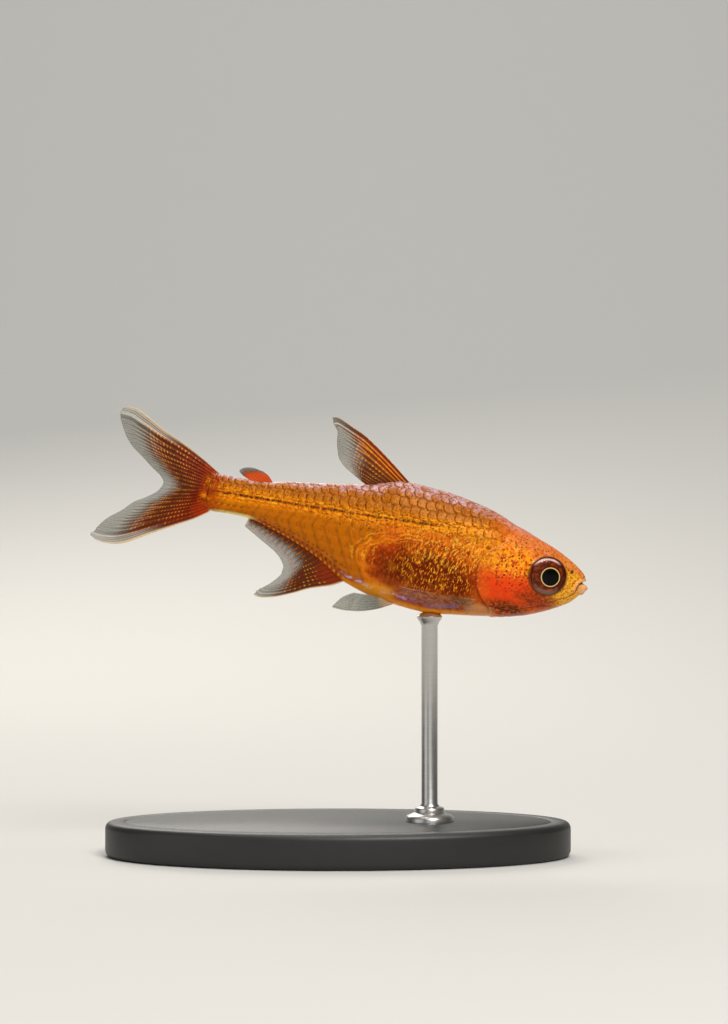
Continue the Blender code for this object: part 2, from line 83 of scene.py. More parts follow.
class Curve:
    """A smooth curve through points that never overshoots them."""

    def __init__(self, xs: Sequence[float], ys: Sequence[float]) -> None:
        """Fits the curve.

        Args:
            xs: Rising places.
            ys: Values there.
        """
        self.xs, self.ys = list(xs), list(ys)
        steps = [b - a for a, b in zip(self.xs, self.xs[1:])]
        slopes = [(b - a) / step for a, b, step in zip(self.ys, self.ys[1:], steps)]
        self.steps = steps
        self.tangents = [slopes[0]]
        for before, after in zip(slopes, slopes[1:]):
            turns = before * after <= 0
            self.tangents.append(0.0 if turns else 2 * before * after / (before + after))
        self.tangents.append(slopes[-1])

    def __call__(self, x: float) -> float:
        """The curve's value at a place.

        Args:
            x: The place.

        Returns:
            The value there.
        """
        i = 0
        while i < len(self.steps) - 1 and x > self.xs[i + 1]:
            i += 1
        t = (x - self.xs[i]) / self.steps[i]
        a, b = self.ys[i], self.ys[i + 1]
        rise = a * (2 * t**3 - 3 * t**2 + 1) + b * (3 * t**2 - 2 * t**3)
        bend = self.tangents[i] * (t**3 - 2 * t**2 + t) + self.tangents[i + 1] * (t**3 - t**2)
        return rise + bend * self.steps[i]


def smooth_path(points: Sequence[Sequence[float]], count: int) -> list[tuple[float, ...]]:
    """Points evenly spread along a smooth path.

    Args:
        points: Points that the path passes through.
        count: How many points to return.

    Returns:
        The spread points.
    """
    places = [0.0]
    for a, b in zip(points, points[1:]):
        places.append(places[-1] + math.dist(a, b))
    curves = [Curve(places, values) for values in zip(*points)]
    wanted = [places[-1] * i / (count - 1) for i in range(count)]
    return [tuple(curve(place) for curve in curves) for place in wanted]


def step_up(x: float, low: float, high: float) -> float:
    """0 below low, 1 above high, and smooth between."""
    t = min(max((x - low) / (high - low), 0.0), 1.0)
    return t * t * (3 - 2 * t)


def hump(x: float, width: float) -> float:
    """A bell of height 1 at 0, about two widths across."""
    return math.exp(-((x / width) ** 2))


class SideLine:
    """A line seen from the side, with the distance of a point from it."""

    reach = 0.9

    def __init__(self, points: Sequence[Point], count: int = 40) -> None:
        """Spreads points along the line.

        Args:
            points: Points of the line, (along, up).
            count: How many straight pieces it is measured in.
        """
        self.points = smooth_path(points, count)
        ups = [p[1] for p in self.points]
        alongs = [p[0] for p in self.points]
        self.low = (min(alongs) - self.reach, min(ups) - self.reach)
        self.high = (max(alongs) + self.reach, max(ups) + self.reach)

    def measure(self, along: float, up: float) -> tuple[float, float]:
        """How far a point is from the line and how far along it.

        Args:
            along: Place of the point.
            up: Height of the point.

        Returns:
            The signed distance, positive to the line's right as seen along it with up
            upwards, and the share of the line passed, or a large distance if it is far off.
        """
        if not (self.low[0] < along < self.high[0] and self.low[1] < up < self.high[1]):
            return FAR_OFF, 0.5
        best, found = math.inf, (FAR_OFF, 0.5)
        last = len(self.points) - 1
        for i in range(last):
            (ax, ay), (bx, by) = self.points[i], self.points[i + 1]
            dx, dy = bx - ax, by - ay
            t = ((along - ax) * dx + (up - ay) * dy) / (dx * dx + dy * dy)
            held = min(max(t, 0.0), 1.0)
            px, py = along - ax - dx * held, up - ay - dy * held
            gap = px * px + py * py
            if gap < best:
                best = gap
                turn = px * dy - py * dx
                past = (t if i == last - 1 else held) if t > 0 or i else t
                found = (math.copysign(math.sqrt(gap), turn), (i + past) / last)
        return found


@dataclass(frozen=True)
class Pose:
    """Where the fish's frame lies: its snout and how far its head is down."""

    snout_x: float = 12.77
    snout_z: float = 14.15
    head_down: float = math.radians(13.5)

    def snout(self) -> Vector:
        """The tip of the snout."""
        return Vector((self.snout_x, 0.0, self.snout_z))

    def forward(self) -> Vector:
        """The way the head points."""
        return Vector((math.cos(self.head_down), 0.0, -math.sin(self.head_down)))

    def upward(self) -> Vector:
        """The way the back points."""
        return Vector((math.sin(self.head_down), 0.0, math.cos(self.head_down)))

    def place(self, along: float, up: float, side: float = 0.0) -> Vector:
        """World point, in metres, of a place on the fish in millimetres."""
        return (self.snout() + self.turned(along, up, side)) * MM

    def turned(self, along: float, up: float, side: float) -> Vector:
        """A direction on the fish as one in the world."""
        return self.upward() * up - self.forward() * along + Vector((0.0, side, 0.0))


POSE = Pose()


# The body's form


@dataclass
class Body:
    """The form of the fish's body, as in its solids."""

    rows: tuple[tuple[float, ...], ...] = (
        (0.0, 0.1, -0.5, 0.0, -0.25, 2.1),
        (2.5, 2.95, -6.0, 2.9, -1.5, 2.1),
        (5.0, 4.4, -7.85, 4.25, -1.75, 2.1),
        (10.0, 6.55, -10.7, 5.85, -2.0, 2.1),
        (15.0, 8.15, -12.85, 6.8, -2.0, 2.1),
        (20.0, 9.95, -14.3, 7.35, -1.75, 2.1),
        (30.0, 13.0, -16.35, 7.8, -1.0, 2.1),
        (40.0, 14.3, -17.8, 7.6, -0.5, 2.1),
        (50.0, 14.5, -17.3, 7.0, 0.0, 1.95),
        (60.0, 11.6, -15.1, 5.9, 0.3, 1.7),
        (70.0, 9.3, -10.15, 4.75, 1.0, 1.55),
        (80.0, 7.4, -6.7, 3.65, 0.75, 1.6),
        (90.0, 5.45, -4.65, 2.6, 0.4, 1.8),
        (98.5, 5.3, -5.2, 1.5, 0.0, 2.0),
        (101.0, 5.75, -5.6, 0.9, 0.0, 2.0),
        (103.2, 5.6, -5.4, 0.35, 0.0, 2.0),
        (104.0, 4.6, -4.4, 0.1, 0.0, 2.0),
    )
    back_roundness: float = 1.95
    side_steps: int = 48
    kept: dict[float, tuple[float, ...]] = field(default_factory=dict)
    kept_arcs: dict[float, list[tuple[float, float]]] = field(default_factory=dict)

    def __post_init__(self) -> None:
        """Fits the curves over the square root of the place, which rounds the snout."""
        columns = list(zip(*[(math.sqrt(row[0]), *row[1:]) for row in self.rows]))
        self.curves = [Curve(columns[0], column) for column in columns[1:]]

    def section(self, along: float) -> tuple[float, ...]:
        """Back, belly, half width, widest level and lower roundness at a place along.

        Args:
            along: The place.

        Returns:
            The five, in millimetres but for the last.
        """
        key = round(along, 4)
        if key not in self.kept:
            percents = 100 / STANDARD_LENGTH
            root = math.sqrt(max(along * percents, 0.0))
            values = [curve(root) for curve in self.curves]
            self.kept[key] = (*(v / percents for v in values[:4]), values[4])
        return self.kept[key]

    def point(self, along: float, angle: float) -> Point:
        """The skin's (up, side) at an angle round the section, 0 at the back.

        Args:
            along: Place along.
            angle: Angle round the section, in radians.

        Returns:
            The point.
        """
        back, belly, half, widest, roundness = self.section(along)
        above = math.cos(angle) >= 0
        power = 2 / (self.back_roundness if above else roundness)
        side = half * abs(math.sin(angle)) ** power
        rise = abs(math.cos(angle)) ** power
        up = widest + (back - widest) * rise if above else widest - (widest - belly) * rise
        return up, math.copysign(side, math.sin(angle))

    def side_at(self, along: float, up: float) -> float:
        """Half width of the body at a place and height.

        Args:
            along: Place along.
            up: Height.

        Returns:
            The half width.
        """
        back, belly, half, widest, roundness = self.section(along)
        above = up >= widest
        power = self.back_roundness if above else roundness
        reach = back - widest if above else widest - belly
        share = min(abs(up - widest) / reach, 1.0)
        return half * (1 - share**power) ** (1 / power)

    def outwards(self, along: float, angle: float) -> Vector:
        """The way out of the skin, as (along, up, side).

        Args:
            along: Place along.
            angle: Angle round the section, in radians.

        Returns:
            A direction of length 1.
        """
        step = 0.01
        up, side = self.point(along, angle)
        up_b, side_b = self.point(along + step, angle)
        up_c, side_c = self.point(along, angle + 0.004)
        back = Vector((step, up_b - up, side_b - side))
        turn = Vector((0.0, up_c - up, side_c - side))
        out = turn.cross(back)
        if out.length < 1e-12:
            return Vector((-1.0, 0.0, 0.0))
        out.normalize()
        centre = self.section(along)[3]
        if out.y * (up - centre) + out.z * side < 0:
            out.negate()
        return out

    def arcs(self, along: float) -> list[tuple[float, float]]:
        """Distances round one side from the back, as (distance, angle).

        Args:
            along: Place along.

        Returns:
            The table, from the back to the belly.
        """
        key = round(along, 2)
        if key not in self.kept_arcs:
            total, table = 0.0, [(0.0, 0.0)]
            before = self.point(key, 0.0)
            for i in range(1, self.side_steps + 1):
                angle = math.pi * i / self.side_steps
                here = self.point(key, angle)
                total += math.dist(before, here)
                table.append((total, angle))
                before = here
            self.kept_arcs[key] = table
        return self.kept_arcs[key]

    def angle_at(self, along: float, distance: float) -> float:
        """The angle round the section at a distance from the back, past which it runs on.

        Args:
            along: Place along.
            distance: Distance round the side.

        Returns:
            The angle, in radians.
        """
        table = self.arcs(along)
        if distance <= 0:
            return distance / max(table[1][0], 1e-6) * table[1][1]
        for (a, low), (b, high) in zip(table, table[1:]):
            if distance <= b:
                return low + (high - low) * (distance - a) / max(b - a, 1e-9)
        (a, low), (b, high) = table[-2:]
        return high + (high - low) * (distance - b) / max(b - a, 1e-9)

    def distance_to(self, along: float, up: float) -> float:
        """Distance round the side from the back down to a height.

        Args:
            along: Place along.
            up: Height.

        Returns:
            The distance.
        """
        for distance, angle in self.arcs(along):
            if self.point(along, angle)[0] <= up:
                break
        return distance

    def rise(self, along: float, up: float) -> float:
        """Height as a share from belly to back."""
        back, belly, *_ = self.section(along)
        return (up - belly) / max(back - belly, 1e-6)


BODY = Body()
EYE_CENTRE = (2.05, -0.20)
PUPIL_CENTRE = (1.90, -0.205)
GILL_EDGE = ((3.8, 2.3), (4.0, 1.5), (4.6, 0.88), (5.32, 0.3), (5.62, -0.5), (5.58, -1.2),
             (5.2, -1.96), (4.6, -2.5), (4.2, -3.2))


def spine_level(along: "float | Value") -> "float | Value":
    """Height of the dotted line over the backbone."""
    past = along - 8.0
    return 1.03 - past * 0.095 + past * past * 0.0012


# Shader writing


@dataclass(frozen=True)
class Oval:
    """A soft oval on the fish's side, in millimetres."""

    along: float
    up: float
    half_length: float
    half_height: float
    soft: float = 0.35


EYE_OVAL = Oval(*EYE_CENTRE, 1.0, 1.0)
PUPIL_OVAL = Oval(*PUPIL_CENTRE, 1.0, 1.0)


class Value:
    """A shader socket that takes part in Python expressions."""

    def __init__(self, graph: "Graph", socket: bpy.types.NodeSocket) -> None:
        """Wraps a socket of a graph."""
        self.graph, self.socket = graph, socket

    def _math(self, operation: str, *others: "Value | float") -> "Value":
        """A Math node on this value and others."""
        return self.graph.add("ShaderNodeMath", {"operation": operation}, self, *others)

    def __add__(self, other: "Value | float") -> "Value":
        """Sum."""
        return self._math("ADD", other)

    __radd__ = __add__

    def __mul__(self, other: "Value | float") -> "Value":
        """Product."""
        return self._math("MULTIPLY", other)

    __rmul__ = __mul__

    def __sub__(self, other: "Value | float") -> "Value":
        """Difference."""
        return self._math("SUBTRACT", other)

    def __rsub__(self, other: float) -> "Value":
        """Difference from a number."""
        return self * -1.0 + other

    def __truediv__(self, other: "Value | float") -> "Value":
        """Quotient."""
        return self._math("DIVIDE", other)

    def __pow__(self, other: "Value | float") -> "Value":
        """Power."""
        return self._math("POWER", other)

    def __abs__(self) -> "Value":
        """Size without its sign."""
        return self._math("ABSOLUTE")

    def sine(self) -> "Value":
        """Sine of an angle in radians."""
        return self._math("SINE")

    def least(self, other: "Value | float") -> "Value":
        """The smaller of the two."""
        return self._math("MINIMUM", other)

    def most(self, other: "Value | float") -> "Value":
        """The larger of the two."""
        return self._math("MAXIMUM", other)

    def over(self, low: float, high: float) -> "Value":
        """0 below low, 1 above high, and smooth between; high may be the smaller.

        Args:
            low: Where it starts.
            high: Where it ends.

        Returns:
            The smooth step.
        """
        if low > high:
            return 1 - self.over(high, low)
        settings = {"interpolation_type": "SMOOTHSTEP"}
        return self.graph.add("ShaderNodeMapRange", settings, self, low, high, 0.0, 1.0)

    def within(self, low: float, high: float, soft: float) -> "Value":
        """1 between low and high, with soft edges."""
        rising = self.over(low - soft, low + soft)
        return rising * self.over(high + soft, high - soft)

    def near(self, level: "Value | float", width: float) -> "Value":
        """1 at a level and 0 further off than the width."""
        return abs(self - level).over(width, 0.0)


Input = "Value | float | Sequence[float] | None"


class Graph:
    """The nodes of one material, and the colour painted on it so far."""

    def __init__(self, name: str) -> None:
        """Starts a material with one Principled shader and nothing painted yet.

        Args:
            name: The material's name.
        """
        self.material = bpy.data.materials.new(name)
        self.material.use_nodes = True
        self.tree = self.material.node_tree
        self.shader = self.tree.nodes["Principled BSDF"]
        self.colour: Value | Colour = (0.0, 0.0, 0.0)

    def add(self, kind: str, settings: dict[str, object] | None = None, *inputs: Input,
            output: int = 0, **named: Input) -> Value:
        """Adds a node.

        Args:
            kind: The node's type.
            settings: Its settings, set first.
            inputs: What its sockets take, in order; None leaves one as it is.
            output: Which output to return.
            named: What its named sockets take, with _ for a space.

        Returns:
            The chosen output.
        """
        node = self.tree.nodes.new(kind)
        for key, value in (settings or {}).items():
            setattr(node, key, value)
        for socket, value in zip(node.inputs, inputs):
            self.feed(socket, value)
        for key, value in named.items():
            self.feed(node.inputs[key.replace("_", " ")], value)
        return Value(self, node.outputs[output])

    def feed(self, socket: bpy.types.NodeSocket, value: Input) -> None:
        """Links or sets one input.

        Args:
            socket: The input.
            value: What it takes; None leaves it as it is.
        """
        if isinstance(value, Value):
            self.tree.links.new(value.socket, socket)
        elif value is not None:
            wide = isinstance(value, (tuple, list)) and socket.type == "RGBA" and len(value) == 3
            socket.default_value = (*value, 1.0) if wide else value

    @cached_property
    def position(self) -> Value:
        """Object coordinates in millimetres, as a vector."""
        place = self.add("ShaderNodeTexCoord", output=3)
        return self.add("ShaderNodeVectorMath", {"operation": "SCALE"}, place, Scale=1 / MM)

    def from_snout(self, axis: Vector) -> Value:
        """Distance from the snout along an axis, in millimetres.

        Args:
            axis: The axis in the world.

        Returns:
            The distance.
        """
        place = self.add("ShaderNodeVectorMath", {"operation": "DOT_PRODUCT"}, self.position,
                         tuple(axis), output=1)
        return place + -axis.dot(POSE.snout())

    @cached_property
    def along(self) -> Value:
        """Place back from the snout, in millimetres."""
        return self.from_snout(-POSE.forward())

    @cached_property
    def up(self) -> Value:
        """Height in the fish's frame, in millimetres."""
        return self.from_snout(POSE.upward())

    @cached_property
    def rise(self) -> Value:
        """Height as a share from belly to back."""
        return self.attribute("rise")

    def attribute(self, name: str) -> Value:
        """A number kept on the mesh's points."""
        return self.add("ShaderNodeAttribute", {"attribute_name": name}, output=2)

    def mix(self, share: "Value | float", first: "Value | Colour",
            second: "Value | Colour") -> Value:
        """Two colours mixed.

        Args:
            share: How much of the second.
            first: First colour.
            second: Second colour.

        Returns:
            The mixed colour.
        """
        number_and_vector_sockets = [None] * 5
        return self.add("ShaderNodeMix", {"data_type": "RGBA"}, share,
                        *number_and_vector_sockets, first, second, output=2)

    def lay(self, share: "Value | float", colour: "Value | Colour") -> None:
        """Lays a colour over the ones before it, as strongly as its share says."""
        self.colour = self.mix(share, self.colour, colour)

    def ring(self, oval: Oval, at: "tuple[Value, Value] | None" = None) -> Value:
        """Distance from an oval's middle, 1 at its edge.

        Args:
            oval: The oval.
            at: Place along and up, where they aren't the point's own.

        Returns:
            The distance.
        """
        along, up = at or (self.along, self.up)
        run, climb = (along - oval.along) / oval.half_length, (up - oval.up) / oval.half_height
        return (run * run + climb * climb) ** 0.5

    def patch(self, oval: Oval, at: "tuple[Value, Value] | None" = None) -> Value:
        """1 inside an oval, fading to 0 over its soft edge."""
        return self.ring(oval, at).over(1 + oval.soft, 1 - oval.soft)

    def noise(self, scale: float, detail: float = 3.0, stretch: Colour = (1.0, 1.0, 1.0),
              turn: float = 0.0, roughness: float = 0.55) -> Value:
        """Cloudy noise round 0.5, with features about 1 / scale mm across.

        Args:
            scale: Features a millimetre.
            detail: Octaves.
            stretch: Scale on each axis.
            turn: Turn about the side axis, in radians.
            roughness: Weight of the fine octaves.

        Returns:
            The noise.
        """
        place: Value = self.position
        if stretch != (1.0, 1.0, 1.0) or turn:
            turned = self.add("ShaderNodeMapping", None, place, None, (0.0, turn, 0.0))
            place = self.add("ShaderNodeVectorMath", {"operation": "MULTIPLY"}, turned, stretch)
        return self.add("ShaderNodeTexNoise", {"noise_dimensions": "3D"}, Vector=place,
                        Scale=scale, Detail=detail, Roughness=roughness)

    def cells(self, scale: float, wanted: int) -> Value:
        """Voronoi cells: distance from the nearest point (0) or the cell's colour (1).

        Args:
            scale: Cells a millimetre.
            wanted: Which output.

        Returns:
            The output.
        """
        return self.add("ShaderNodeTexVoronoi", None, Vector=self.position, Scale=scale,
                        output=wanted)

    def specks(self, scale: float, size: float, share: float) -> Value:
        """Small scattered spots.

        Args:
            scale: Cells a millimetre.
            size: Spot radius in cells.
            share: Share of the cells that hold one.

        Returns:
            1 on a spot.
        """
        chance = self.add("ShaderNodeSeparateColor", None, self.cells(scale, 1))
        holds = chance.over(1 - share, 1 - share + 0.05)
        return self.cells(scale, 0).over(size, size * 0.55) * holds

    def set(self, **constants: object) -> None:
        """Sets the shader's own sockets to constants."""
        for key, value in constants.items():
            self.feed(self.shader.inputs[key.replace("_", " ")], value)

    def bump(self, height: Value, strength: float, distance: float) -> None:
        """Feeds the shader's normal from a height.

        Args:
            height: The height.
            strength: How strongly it shows.
            distance: Its depth in millimetres.
        """
        made = self.add("ShaderNodeBump", None, Strength=strength, Distance=distance * MM,
                        Height=height)
        self.feed(self.shader.inputs["Normal"], made)


DARK = srgb(66, 24, 8)
GOLD = srgb(255, 146, 8)
BRIGHT_GOLD = srgb(255, 200, 62)


@dataclass(frozen=True)
class BellyMarkings:
    """Body cavity, gut, lower flank, belly edge and the roots of the lower fins."""

    cavity: Oval = Oval(7.9, -1.4, 3.75, 1.65)
    cavity_red: Colour = srgb(174, 50, 5)
    cavity_rim: Colour = srgb(236, 122, 12)
    gut: Oval = Oval(8.0, -1.7, 2.7, 1.25, 0.30)
    gut_red: Colour = srgb(84, 12, 2)
    gut_shade: Colour = srgb(70, 10, 2)
    gut_middle: Oval = Oval(7.4, -1.2, 2.2, 1.2, 0.5)
    fleck: Colour = srgb(250, 178, 40)
    thin_fleck: Colour = srgb(226, 108, 12)
    glitter: Oval = Oval(6.6, 0.0, 2.6, 0.85, 0.6)
    streak: Colour = srgb(248, 172, 38)
    streak_shade: Colour = srgb(140, 52, 8)
    streak_rate: float = 62.0
    flank: Colour = srgb(164, 66, 20)
    edge: Colour = srgb(255, 152, 18)
    violet: Colour = srgb(150, 98, 148)
    violet_core_highlight: Colour = srgb(232, 190, 206)
    veil: Oval = Oval(7.3, -2.75, 2.3, 0.42, 0.4)
    veil_pale: Colour = srgb(196, 122, 82)
    veil_shade: Colour = srgb(96, 44, 22)
    keel: Colour = srgb(255, 232, 140)
    fin_root: Colour = srgb(168, 56, 10)
    bead: Colour = srgb(252, 168, 44)
    bead_gap: float = 0.27
    pelvic_root: Oval = Oval(10.4, -3.0, 0.95, 0.42, 0.4)
    pelvic_gold: Colour = srgb(244, 160, 36)

    def lay_on(self, graph: Graph, fine: Value) -> None:
        """Lays the belly's markings over the body's colour.

        Args:
            graph: The material.
            fine: Fine noise.
        """
        drift = graph.noise(1.1, 4.0) - 0.5
        self.lay_gut(graph, fine, drift)
        self.lay_streaks(graph, fine, drift)
        self.lay_edge(graph)
        self.lay_fin_roots(graph)

    def lay_gut(self, graph: Graph, fine: Value, drift: Value) -> None:
        """Lays the cavity and the gut with their gold flecks.

        Args:
            graph: The material.
            fine: Fine noise.
            drift: Coarse noise round 0, which bends the outlines.
        """
        noise, front = graph.noise, graph.along.over(4.9, 5.8)
        bent = (graph.along + drift * 1.5, graph.up + (noise(1.7, 4.0) - 0.5))
        cavity = graph.ring(self.cavity, bent)
        flecks = noise(5.2, 4.0, (2.5, 1.0, 0.95), -0.30)
        inside = cavity.over(1.02, 0.86) * front
        graph.lay(inside * 0.9, self.cavity_red)
        graph.lay(graph.patch(self.gut, bent) * (0.7 + fine * 0.3), self.gut_red)
        thinned = inside * graph.along.over(10.2, 8.2).most(0.35)
        graph.lay(thinned * flecks.over(0.52, 0.61) * 0.80, self.thin_fleck)
        graph.lay(graph.patch(self.gut_middle) * flecks.over(0.56, 0.64) * 0.9, self.fleck)
        graph.lay(inside * flecks.over(0.44, 0.34) * 0.5, self.gut_shade)
        bright = noise(4.6, 4.0, (2.0, 1.0, 0.9), -0.75).over(0.53, 0.61)
        graph.lay(graph.patch(self.glitter) * bright * 0.75, BRIGHT_GOLD)
        mottle = noise(1.3, 2.0, (1.5, 1.0, 1.0), 0.6).over(0.54, 0.68)
        graph.lay(mottle * cavity.over(1.1, 0.7) * front * 0.22, GOLD)
        graph.lay(cavity.near(0.98, 0.13) * graph.along.over(9.0, 10.4) * 0.8, self.cavity_rim)

    def lay_streaks(self, graph: Graph, fine: Value, drift: Value) -> None:
        """Lays the arcs of gold round the cavity's upper rear.

        Args:
            graph: The material.
            fine: Fine noise.
            drift: Coarse noise round 0, which bends the arcs.
        """
        bent = (graph.along + drift, graph.up + drift * 0.5)
        arcs = graph.ring(self.cavity, bent) + (fine - 0.5) * 0.12
        where = graph.along.over(7.8, 9.4) * graph.up.over(-2.0, -1.3)
        streaky = arcs.within(0.80, 1.16, 0.06) * where
        waves = (arcs * self.streak_rate).sine()
        graph.lay(streaky * waves.over(-0.4, -0.95) * 0.35, self.streak_shade)
        broken = graph.noise(2.8, 3.0).over(0.42, 0.55)
        graph.lay(streaky * waves.over(0.35, 0.95) * broken * 0.7, self.streak)

    def lay_edge(self, graph: Graph) -> None:
        """Lays the lower flank, the yellow belly edge and the violet line over it, with a painted
        highlight in the line's core.

        Args:
            graph: The material.
        """
        along, rise, noise = graph.along, graph.rise, graph.noise
        graph.lay(rise.over(0.26, 0.12) * along.within(5.2, 10.4, 0.7) * 0.75, self.flank)
        graph.lay(rise.over(0.060, 0.025) * along.within(4.6, 12.3, 0.5) * 0.95, self.edge)
        rough = noise(4.0, 4.0, (1.0, 1.0, 1.8), SLANT)
        wander = rise + (rough - 0.5) * 0.08
        patchy = noise(2.6, 3.0, (1.0, 1.0, 1.4), SLANT).over(0.44, 0.54) * 0.8
        line = wander.within(0.055, 0.10, 0.015) * along.within(5.4, 12.4, 0.3)
        # The violet line is the fish's own colour; its pale core is a painted highlight.
        core_highlight = wander.within(0.065, 0.085, 0.010) * along.within(8.8, 12.4, 0.3)
        graph.lay(line * patchy, self.violet)
        graph.lay(core_highlight * patchy, self.violet_core_highlight)
        veil = graph.patch(self.veil)
        graph.lay(veil * rough.over(0.48, 0.60) * 0.50, self.veil_pale)
        graph.lay(veil * rough.over(0.46, 0.38) * 0.60, self.veil_shade)

    def lay_fin_roots(self, graph: Graph) -> None:
        """Lays the pale keel under the tail stalk and the roots of the lower fins.

        Args:
            graph: The material.
        """
        along, rise = graph.along, graph.rise
        graph.lay(rise.over(0.11, 0.04) * along.over(16.9, 17.7) * 0.95, self.keel)
        root = along.within(12.2, 17.3, 0.35)
        beads = (along * (math.tau / self.bead_gap)).sine().over(-0.2, 0.5)
        graph.lay(root * rise.over(0.13, 0.05) * 0.7, self.fin_root)
        rows = rise.within(0.075, 0.095, 0.012).most(rise.within(0.135, 0.15, 0.012))
        graph.lay(root * rows * beads * 0.8, DARK)
        graph.lay(root * rise.within(0.02, 0.045, 0.012) * beads * 0.9, self.bead)
        graph.lay(graph.patch(self.pelvic_root) * 0.75, self.pelvic_gold)


@dataclass(frozen=True)
class HeadMarkings:
    """Face, crown, gill cover and the rim of the eye, with painted highlights on the crown and lips
    and painted shade in the front nostril.
    """

    amber: Colour = srgb(228, 102, 18)
    shade: Colour = srgb(168, 48, 8)
    cover: Oval = Oval(3.9, -1.15, 1.3, 1.3, 0.6)
    gill_red: Colour = srgb(234, 50, 12)
    cover_top: Oval = Oval(4.3, 0.35, 1.9, 0.9, 0.6)
    cover_gold: Colour = srgb(248, 158, 22)
    cover_shade: Colour = srgb(160, 48, 8)
    face: Colour = srgb(250, 174, 40)
    jaw: Oval = Oval(1.15, -1.2, 0.85, 0.42, 0.5)
    jaw_gold: Colour = srgb(250, 176, 36)
    cheek: Oval = Oval(2.3, -1.5, 1.0, 0.45, 0.5)
    cheek_red: Colour = srgb(186, 54, 10)
    cheek_shade: Colour = srgb(92, 30, 6)
    vein: Colour = srgb(104, 40, 8)
    crown: Colour = srgb(212, 114, 42)
    crown_highlight: Colour = srgb(222, 160, 140)
    crown_shade: Colour = srgb(122, 42, 16)
    throat: Oval = Oval(3.75, -2.3, 1.15, 0.40, 0.5)
    throat_shade: Colour = srgb(84, 40, 12)
    breast: Oval = Oval(5.0, -2.75, 0.75, 0.35, 0.4)
    breast_pale: Colour = srgb(226, 170, 110)
    specked: Oval = Oval(3.9, 0.0, 1.5, 1.4, 0.5)
    eye_rim: Colour = srgb(80, 32, 14)
    lips: Oval = Oval(0.05, -0.32, 0.42, 0.5)
    lip_pale_highlight: Colour = srgb(222, 168, 124)
    nostril: Oval = Oval(0.84, 0.30, 0.10, 0.10)

    def lay_on(self, graph: Graph, cloud: Value) -> None:
        """Lays the head's markings over the body's colour.

        Args:
            graph: The material.
            cloud: Coarse noise.
        """
        head, specks = graph.along.over(6.0, 4.4), graph.specks
        grain = graph.noise(6.5, 5.0, roughness=0.7)
        graph.lay(head * 0.8, self.amber)
        graph.lay(head * grain.over(0.50, 0.40) * 0.45, self.shade)
        self.lay_cover(graph, cloud)
        self.lay_face(graph, grain)
        crown = graph.rise.over(0.72, 0.88) * graph.along.over(5.2, 3.6)
        graph.lay(crown * 0.8, self.crown)
        # Painted highlight mottling on the crown.
        graph.lay(crown * grain.over(0.52, 0.62) * 0.45, self.crown_highlight)
        graph.lay(crown * grain.over(0.46, 0.38) * 0.5, self.crown_shade)
        graph.lay(graph.patch(self.throat) * grain.over(0.64, 0.46), self.throat_shade)
        graph.lay(graph.patch(self.breast) * 0.6, self.breast_pale)
        high = graph.rise.over(0.25, 0.4) * specks(7.0, 0.36, 0.4)
        behind = graph.patch(self.specked) * specks(6.0, 0.40, 0.8)
        graph.lay(head * high.most(behind) * 0.9, DARK)
        graph.lay(graph.ring(EYE_OVAL).over(1.09, 0.97) * 0.85, self.eye_rim)
        # Painted highlight on the lips.
        graph.lay(graph.ring(self.lips).over(1.1, 0.6) * 0.5, self.lip_pale_highlight)
        # Painted shade in the front nostril pit.
        graph.lay(graph.ring(self.nostril).over(1.3, 0.7) * 0.8, DARK)

    def lay_cover(self, graph: Graph, cloud: Value) -> None:
        """Lays the gill cover's red middle and golden top.

        Args:
            graph: The material.
            cloud: Coarse noise.
        """
        rough = graph.noise(3.4, 5.0, roughness=0.7)
        graph.lay(graph.patch(self.cover) * (0.30 + cloud * 1.1).least(1.0), self.gill_red)
        top = graph.patch(self.cover_top)
        graph.lay(top * rough.over(0.44, 0.56) * 0.9, self.cover_gold)
        graph.lay(top * rough.over(0.45, 0.36) * 0.7, self.cover_shade)

    def lay_face(self, graph: Graph, grain: Value) -> None:
        """Lays the golden face with its veins, the jaw and the cheek.

        Args:
            graph: The material.
            grain: Fine rough noise.
        """
        along, rise = graph.along, graph.rise
        graph.lay(along.over(2.1, 0.9) * 0.9, self.face)
        graph.lay(graph.patch(self.jaw) * 0.8, self.jaw_gold)
        cheek = graph.patch(self.cheek)
        graph.lay(cheek * 0.85, self.cheek_red)
        graph.lay(cheek * grain.over(0.56, 0.44) * 0.8, self.cheek_shade)
        gold = along.over(5.6, 5.0) * (rise.over(0.40, 0.52) + along.over(2.2, 1.4) * 0.8)
        gold = gold.least(1.0) * rise.over(0.80, 0.64) * rise.over(0.08, 0.2)
        graph.lay(gold * grain.over(0.54, 0.62) * 0.75, BRIGHT_GOLD)
        veins = abs(graph.noise(5.2, 5.0) - 0.5).over(0.05, 0.01)
        graph.lay(along.over(3.4, 1.2) * veins * 0.6, self.vein)


